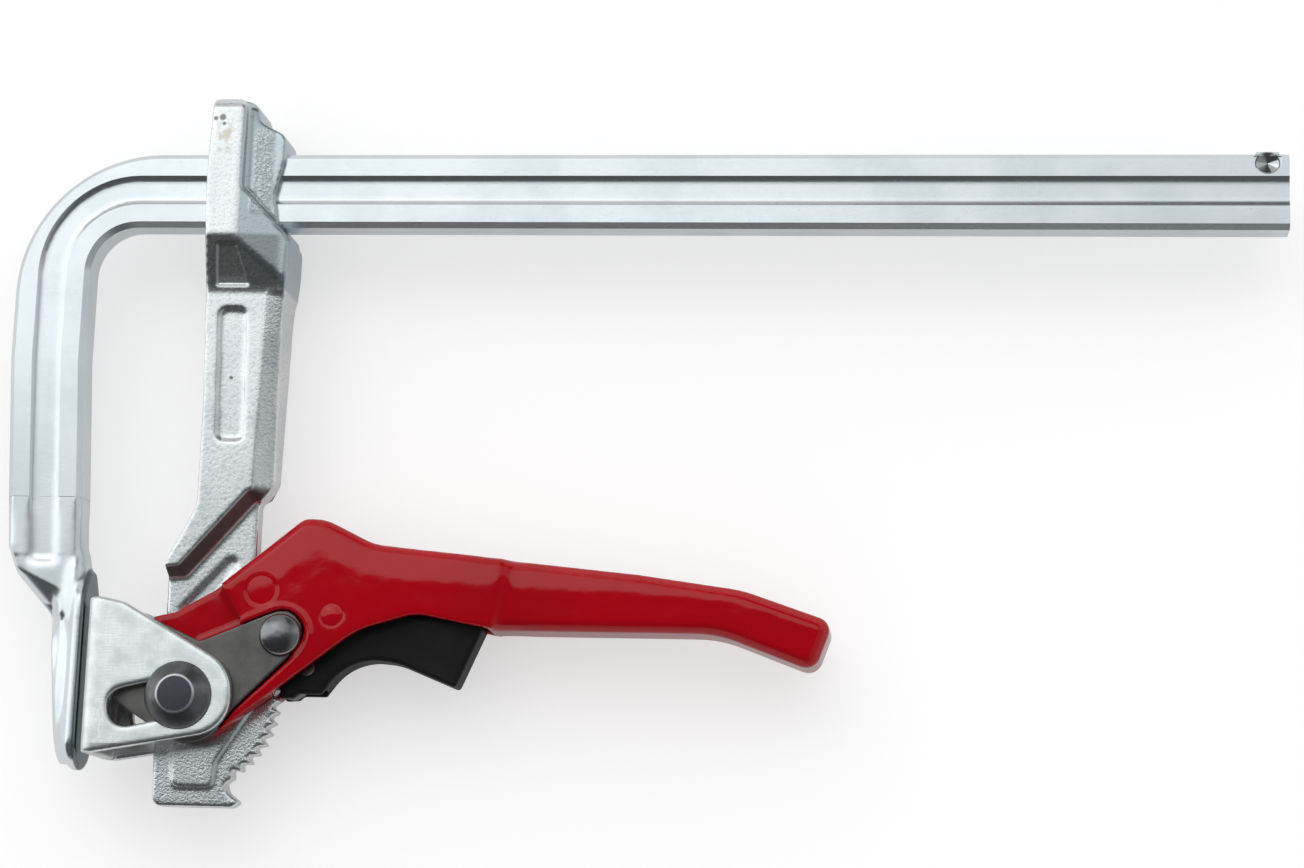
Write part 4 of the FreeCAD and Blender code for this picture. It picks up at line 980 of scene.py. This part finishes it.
@dataclass
class ForgedArm(FlowingNode):
    """The sliding arm, with falling cheeks, a rounded head and a field in its shoulder.

    Args:
        fall: Fall of a cheek per length in X.
        cheek_mm: Left edge, lower edge and width of a cheek.
        cheek_z_mm: Levels in Z between which the fall begins, and above which nothing falls.
        crown_mm: Level above which the head rounds off.
        crown_radius_mm: Radius of that rounding.
        crown_z_mm: Levels in Z between which it begins.
        field_depth_mm: Depth of the bare field in the shoulder.
        field_x_mm: Its soft left edge.
        field_y_mm: Its soft upper and lower edges.
        field_right_mm: X of its right edge, at which Y, and its lean per length.
        field_z_mm: Level in Z below which it does not reach.
    """

    fall: float = 0.17
    cheek_mm: tuple[float, float, float] = (34.9, 112.0, 7.0)
    cheek_z_mm: tuple[float, float, float] = (3.0, 6.0, 7.7)
    crown_mm: float = 147.2
    crown_radius_mm: float = 2.4
    crown_z_mm: Edge = (5.2, 7.0)
    field_depth_mm: float = 0.55
    field_x_mm: Edge = (28.9, 29.7)
    field_y_mm: tuple[Edge, Edge] = ((111.9, 111.1), (100.6, 101.5))
    field_right_mm: tuple[float, float, float] = (34.0, 111.4, 0.34)
    field_z_mm: float = 6.0

    def relief(self, point: Vector) -> float:
        """Cheeks, crown and field all lie deeper."""
        return -(self.cheek_fall(point) + self.crown_fall(point) + self.field(point))

    def cheek_fall(self, point: Vector) -> float:
        """How far the cheek beside the rib falls away.

        Args:
            point: The point in millimetres.

        Returns:
            The fall in millimetres.
        """
        left, low, width = self.cheek_mm
        start, full, most = self.cheek_z_mm
        if point.y < low or point.x < left or abs(point.z) > most:
            return 0.0
        return self.fall * min(point.x - left, width) * blend(abs(point.z), start, full)

    def crown_fall(self, point: Vector) -> float:
        """How far the head's top rounds off at a point, both in millimetres."""
        over = max(0.0, point.y - self.crown_mm)
        return over * over / (2.0 * self.crown_radius_mm) * blend(abs(point.z), *self.crown_z_mm)

    def field(self, point: Vector) -> float:
        """How deep the shoulder's bare field is.

        Args:
            point: The point in millimetres.

        Returns:
            The depth in millimetres.
        """
        if point.z < self.field_z_mm:
            return 0.0
        upper, lower = self.field_y_mm
        right_x, right_y, lean = self.field_right_mm
        right = right_x + (right_y - point.y) * lean
        across = blend(point.x, *self.field_x_mm) * blend(point.x, right + 0.4, right - 0.4)
        return self.field_depth_mm * across * blend(point.y, *upper) * blend(point.y, *lower)


@dataclass
class CoatedLever(FlowingNode):
    """The handle, crowned along its upper edge, with a lip of coating round the cam plate.

    Args:
        upper_mm: Upper outline in X and Y.
        crown_mm: Width of the crown at the channel and at the grip's tip.
        crown_run_mm: Between which places in X it narrows.
        tilt: Slope of the crown at the edge.
        window_mm: Line of the cam plate's window in X and Y.
        window_end_mm: Place in X beyond which no lip stands.
        lip_mm: Height of the lip.
        cheek_mm: Level in Z above which the skin is a cheek's.
    """

    upper_mm: Line = (
        (45.5, 32.7), (55.4, 40.9), (61.0, 40.7), (73.5, 34.6), (85.3, 33.4), (107.5, 31.4), (140.0, 28.1),
        (166.0, 24.6), (188.6, 17.0),
    )
    crown_mm: tuple[float, float] = (9.5, 4.0)
    crown_run_mm: Edge = (75.0, 180.0)
    tilt: float = 0.10
    window_mm: Line = (
        (31.0, 9.1), (48.1, 16.3), (49.8, 17.1), (51.4, 17.2), (53.5, 16.9), (55.6, 15.6), (57.1, 13.6),
        (57.6, 11.2), (57.2, 8.9), (56.0, 6.9), (55.4, 6.2), (40.1, -7.8),
    )
    window_end_mm: float = 62.0
    lip_mm: float = 0.25
    cheek_mm: float = 5.6

    def relief(self, point: Vector) -> float:
        """On the cheeks the lip stands out and the crown falls away."""
        return self.lip(point) - self.crown(point) if abs(point.z) > self.cheek_mm else 0.0

    def crown(self, point: Vector) -> float:
        """How far the cheek falls away towards its upper edge.

        Args:
            point: The point in millimetres.

        Returns:
            The fall in millimetres.
        """
        wide, slim = self.crown_mm
        width = wide + (slim - wide) * blend(point.x, *self.crown_run_mm)
        inside = 1.0 - off_line(point, self.upper_mm) / width
        return self.tilt * width * 0.5 * max(0.0, inside) ** 2

    def lip(self, point: Vector) -> float:
        """How far the coating stands up round the window.

        Args:
            point: The point in millimetres.

        Returns:
            The height in millimetres.
        """
        if point.x > self.window_end_mm:
            return 0.0
        away = off_line(point, self.window_mm)
        return self.lip_mm * blend(away, 0.0, 0.6) * blend(away, 1.9, 1.0)


@dataclass
class TurnedNode(DressedNode):
    """A turned piece with finer curves than its solid.

    Args:
        centre_mm: Its axis in X and Y.
        profile: Half section as radius and Z in millimetres, from the axis at the back to the axis in front.
        segments: Segments round the axis.
    """

    centre_mm: tuple[float, float] = (0.0, 0.0)
    profile: Line = ()
    segments: int = 96

    def shaped(self, frame: dict[str, Any]) -> bmesh.types.BMesh:
        """Spin the profile.


        Returns:
            The shape, to be freed by the caller.
        """
        shape = bmesh.new()
        x, y = self.centre_mm
        line = [shape.verts.new(Vector((x + radius, y, level)) * MM) for radius, level in self.profile]
        for first, second in zip(line, line[1:]):
            shape.edges.new((first, second))
        bmesh.ops.spin(
            shape, geom=shape.verts[:] + shape.edges[:], cent=(x * MM, y * MM, 0.0),
            axis=(0.0, 0.0, 1.0), angle=math.tau, steps=self.segments, use_merge=True,
        )
        bmesh.ops.remove_doubles(shape, verts=shape.verts, dist=0.001 * MM)
        bmesh.ops.recalc_face_normals(shape, faces=shape.faces)
        return self.marked(shape)


def both_sides(front: list[tuple[float, float]]) -> Line:
    """A whole profile from its front half, from the axis at the back to the axis in front."""
    behind = [(radius, -level) for radius, level in reversed(front)]
    return tuple(behind + front)


def arm_flow(point: Vector) -> float:
    """How far a point of the sliding arm takes part in its smoothing.

    Args:
        point: The point in millimetres.

    Returns:
        Nothing on the toothed rim, little on web and foot, most at the head's top.
    """
    away = math.hypot(point.x - PIVOT_MM[0], point.y - PIVOT_MM[1])
    root, tip, half, right = 20.6, 24.0, 3.0, 34.0  # the toothed rim
    web_y, top_y = 34.0, 146.0
    if root < away < tip and abs(point.z) < half and point.x > right:
        return 0.0
    if point.y < web_y:
        return 0.25
    return 1.0 if point.y > top_y else 0.5


def lever_flow(point: Vector) -> float:
    """The same for the handle: most where channel and grip join, little elsewhere."""
    joint_x, everywhere = 105.8, 0.18
    return everywhere + (1.0 - everywhere) * blend(abs(point.x - joint_x), 9.0, 3.0)


def jaw_flow(point: Vector) -> float:
    """How far a point of the rail's lower end takes part in its smoothing.

    Args:
        point: The point in millimetres.

    Returns:
        Little on the pad's flat face, most on neck and shoulder.
    """
    face_x, edge_x, neck_y, arm_y = -1.6, -4.0, (15.0, 20.0), 31.0
    flat = 0.12
    if point.y > neck_y[0] and point.x > edge_x:
        return flat + 0.6 * blend(point.y, *neck_y)
    if point.x > face_x:
        return flat
    if point.x > edge_x:
        return 0.3
    return 1.0 if point.y < arm_y else 0.5


def dome(radius: float, seat: float, height: float, dimple: float) -> list[tuple[float, float]]:
    """Front half of a domed rivet head.

    Args:
        radius: Radius of the head.
        seat: Z of its seat.
        height: Height of the head.
        dimple: Depth of the mark that the riveting tool leaves.

    Returns:
        Radius and Z from the seat to the axis.
    """
    points = [(radius, seat), (radius, seat + 0.35)]
    steps = 14
    for number in range(1, steps):
        turn = math.pi / 2 * number / steps
        out = radius * math.cos(turn)
        level = seat + 0.35 + (height - 0.35) * math.sin(turn) ** 0.85
        points.append((out, level - dimple * max(0.0, 1.0 - out / (radius * 0.24)) ** 2))
    points.append((0.0, seat + height - dimple))
    return points


@dataclass
class Clamp:
    """The whole clamp: which node takes which finish.

    Args:
        cam_rivet_mm: Axis of the cam rivet.
        pivot_mm: Axis of the pivot pin.
        spacer_mm: Axis of the spacer rivet.
        trigger_mm: Axis of the trigger pivot pin.
    """

    cam_rivet_mm: tuple[float, float] = (51.4, 11.0)
    pivot_mm: tuple[float, float] = PIVOT_MM
    spacer_mm: tuple[float, float] = (45.8, 22.3)
    trigger_mm: tuple[float, float] = (64.0, 16.4)

    def pieces(self) -> list[DressedNode]:
        """Every piece in the order of its building.

        Returns:
            The pieces.
        """
        rivet = both_sides([(3.0, 9.6)] + dome(5.3, 9.6, 2.9, 0.05))
        pin_front = [
            (4.8, 13.05), (8.1, 13.05), (8.4, 13.25), (8.4, 13.5), (8.0, 14.1), (6.6, 15.2), (5.2, 16.1),
            (4.75, 16.38), (4.45, 16.45), (0.0, 16.45),
        ]
        pin_back = [(0.0, -15.65), (5.7, -15.65), (6.4, -15.3), (8.0, -14.05), (8.0, -13.05), (4.8, -13.05)]
        flush = both_sides([(4.3, 9.25), (4.2, 9.34), (0.0, 9.36)])
        small = both_sides([(2.8, 9.25), (2.7, 9.34), (0.0, 9.36)])
        return [
            RailWithJaw("rail_with_fixed_jaw", "rail", Slot.RAIL, cell_mm=0.38, passes=26, flow=jaw_flow),
            ForgedArm("sliding_arm", "arm", Slot.FORGING, cell_mm=0.46, passes=8, flow=arm_flow),
            FlowingNode("pressure_jaw", "jaw", Slot.SHEET, cell_mm=0.40, passes=8),
            FlowingNode("cam_plate_front", "handle", Slot.CAM, cell_mm=0.3, passes=2),
            FlowingNode("cam_plate_back", "handle", Slot.CAM, cell_mm=0.3, passes=2),
            CoatedLever("handle_lever", "handle", Slot.RED, cell_mm=0.5, passes=20, flow=lever_flow),
            TurnedNode("pivot_pin", "arm", Slot.PIN, 20.0, self.pivot_mm, tuple(pin_back + pin_front)),
            TurnedNode("cam_rivet", "handle", Slot.RIVET, 50.0, self.cam_rivet_mm, rivet),
            TurnedNode("spacer_rivet", "handle", Slot.RED, 50.0, self.spacer_mm, flush),
            TurnedNode("trigger_pivot_pin", "handle", Slot.RED, 50.0, self.trigger_mm, small),
            DressedNode("cam_sleeve", "handle", Slot.RIVET),
            DressedNode("spacer_sleeve", "handle", Slot.RIVET),
            FlowingNode("release_trigger", "trigger", Slot.BLACK, cell_mm=0.35, passes=3),
            DressedNode("pawl", "trigger", Slot.CAM),
            DressedNode("pawl_pin", "trigger", Slot.RIVET),
            DressedNode("trigger_spring", "trigger", Slot.WIRE, 50.0),
        ]

    def build(self, frame: dict[str, Any]) -> list[bpy.types.Object]:
        """Dress every node of the frame."""
        materials = {slot: finish.material() for slot, finish in FINISHES.items()}
        return [piece.build(frame, materials) for piece in self.pieces()]


@dataclass
class Studio:
    """Floor, world, lamps and camera.

    Args:
        lens_mm: Focal length on a sensor 36 mm wide.
        eye_mm: The camera's place.
        eye_axes: The camera's own X, Y and Z axes in the frame.
        seam: Share of Y in the direction where the dark of the room gives way to its bright side.
        slant: How much lower the bright side reaches further to the left.
    """

    lens_mm: float = 82.616
    eye_mm: tuple[float, float, float] = (226.547, -79.820, 734.873)
    eye_axes: tuple[tuple[float, float, float], ...] = (
        (0.99359047, 0.0315122, -0.10855856),
        (-0.00990041, 0.98092636, 0.19412741),
        (0.11260534, -0.19180837, 0.97495107),
    )
    seam: float = 0.165
    slant: float = 0.35

    def camera(self) -> bpy.types.Object:
        """Set the photograph's camera.

        Returns:
            The camera.
        """
        data = bpy.data.cameras.new("photo_camera")
        data.lens = self.lens_mm
        data.sensor_width = 36.0
        data.clip_start = 0.02
        data.clip_end = 20.0
        eye = bpy.data.objects.new("photo_camera", data)
        turn = Matrix(self.eye_axes).transposed().to_4x4()
        eye.matrix_world = Matrix.Translation(Vector(self.eye_mm) * MM) @ turn
        bpy.context.scene.collection.objects.link(eye)
        bpy.context.scene.camera = eye
        return eye

    def floor(self, level: float) -> bpy.types.Object:
        """A pale floor under the clamp.

        Args:
            level: Height of the floor.

        Returns:
            The floor.
        """
        shape = bmesh.new()
        bmesh.ops.create_grid(shape, x_segments=1, y_segments=1, size=4.0)
        bmesh.ops.translate(shape, verts=shape.verts, vec=(0.14, 0.06, level))
        mesh = bpy.data.meshes.new("floor")
        shape.to_mesh(mesh)
        shape.free()
        floor = bpy.data.objects.new("floor", mesh)
        bpy.context.scene.collection.objects.link(floor)
        made = bpy.data.materials.new("floor")
        made.use_nodes = True
        shader = Shader(made.node_tree)
        matt = shader.node("ShaderNodeBsdfDiffuse", {}, {"Color": (0.62, 0.62, 0.62)})
        camera = shader.node("ShaderNodeLightPath", {}, {}, "Is Camera Ray")
        mirror = shader.node("ShaderNodeLightPath", {}, {}, "Is Glossy Ray")
        strength = camera * 0.48 + mirror * 0.2
        glow = shader.node("ShaderNodeEmission", {}, {"Color": (1.0, 1.0, 1.0), "Strength": strength})
        both = shader.node("ShaderNodeAddShader", {}, {0: matt, 1: glow})
        shader.add("ShaderNodeOutputMaterial", {}, {"Surface": both})
        mesh.materials.append(made)
        floor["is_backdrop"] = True
        return floor

    def world(self) -> None:
        """A pale room: bright above and behind the rail, grey to the right, dark in front of the jaws."""
        world = bpy.data.worlds.new("surround")
        bpy.context.scene.world = world
        world.use_nodes = True
        shader = Shader(world.node_tree)
        across, along, up = shader.axes(shader.node("ShaderNodeTexCoord", {}, {}, "Generated"))
        slanted = along - (across.under(-0.2) + 0.2) * self.slant
        seam = slanted.step(self.seam - 0.01, self.seam + 0.01)
        window = seam * along.step(0.68, 0.48)
        side = across.step(0.45, -0.2)
        room = window * (side * 0.8 + 0.42) + (1.0 - window) * 0.07 + across.step(0.2, 0.7) * 0.25
        room = room.over(up.step(0.28, 0.02) * 0.85)
        plain = along.step(-0.3, 0.8) * 0.75 + 0.55
        seen = shader.node("ShaderNodeLightPath", {}, {}, "Is Camera Ray")
        mirrored = shader.node("ShaderNodeLightPath", {}, {}, "Is Glossy Ray")
        level = seen + (1.0 - seen) * (room * mirrored + plain * (1.0 - mirrored))
        red, green = level * (1.0 - mirrored * 0.05), level * (1.0 - mirrored * 0.01)
        colour = shader.node("ShaderNodeCombineColor", {}, {0: red, 1: green, 2: level})
        back = shader.node("ShaderNodeBackground", {}, {"Color": colour, "Strength": 1.0})
        shader.add("ShaderNodeOutputWorld", {}, {"Surface": back})

    def lamp(self, name: str, place: tuple[float, float, float], size: float, power: float) -> None:
        """A square soft lamp that points at the clamp.

        Args:
            name: The lamp's name.
            place: Where it hangs.
            size: Its side.
            power: Its power in watts.
        """
        data = bpy.data.lights.new(name, "AREA")
        data.shape = "SQUARE"
        data.size = size
        data.energy = power
        lamp = bpy.data.objects.new(name, data)
        lamp.location = place
        aim = Vector((0.14, 0.06, 0.0)) - Vector(place)
        lamp.rotation_euler = aim.to_track_quat("-Z", "Y").to_euler()
        bpy.context.scene.collection.objects.link(lamp)

    def build(self, low: float) -> None:
        """Set everything round the clamp.

        Args:
            low: The clamp's lowest point.
        """
        bpy.context.scene.view_settings.view_transform = "Standard"
        self.world()
        self.lamp("softbox", (-0.35, 1.15, 0.85), 1.2, 2.5)
        self.floor(low - 0.1 * MM)
        self.camera()


def corners(bounds: Iterable[Iterable[float]]) -> list[list[float]]:
    """Bounds as plain lists of numbers."""
    return [[float(value) for value in corner] for corner in bounds]


def main() -> None:
    """Build the clamp and its studio."""
    logging.basicConfig(level=logging.INFO, format="%(message)s")
    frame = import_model()
    before = corners(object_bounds())
    Clamp().build(frame)
    Studio().build(before[0][2])
    bpy.context.view_layer.update()


if __name__ == "__main__":
    main()
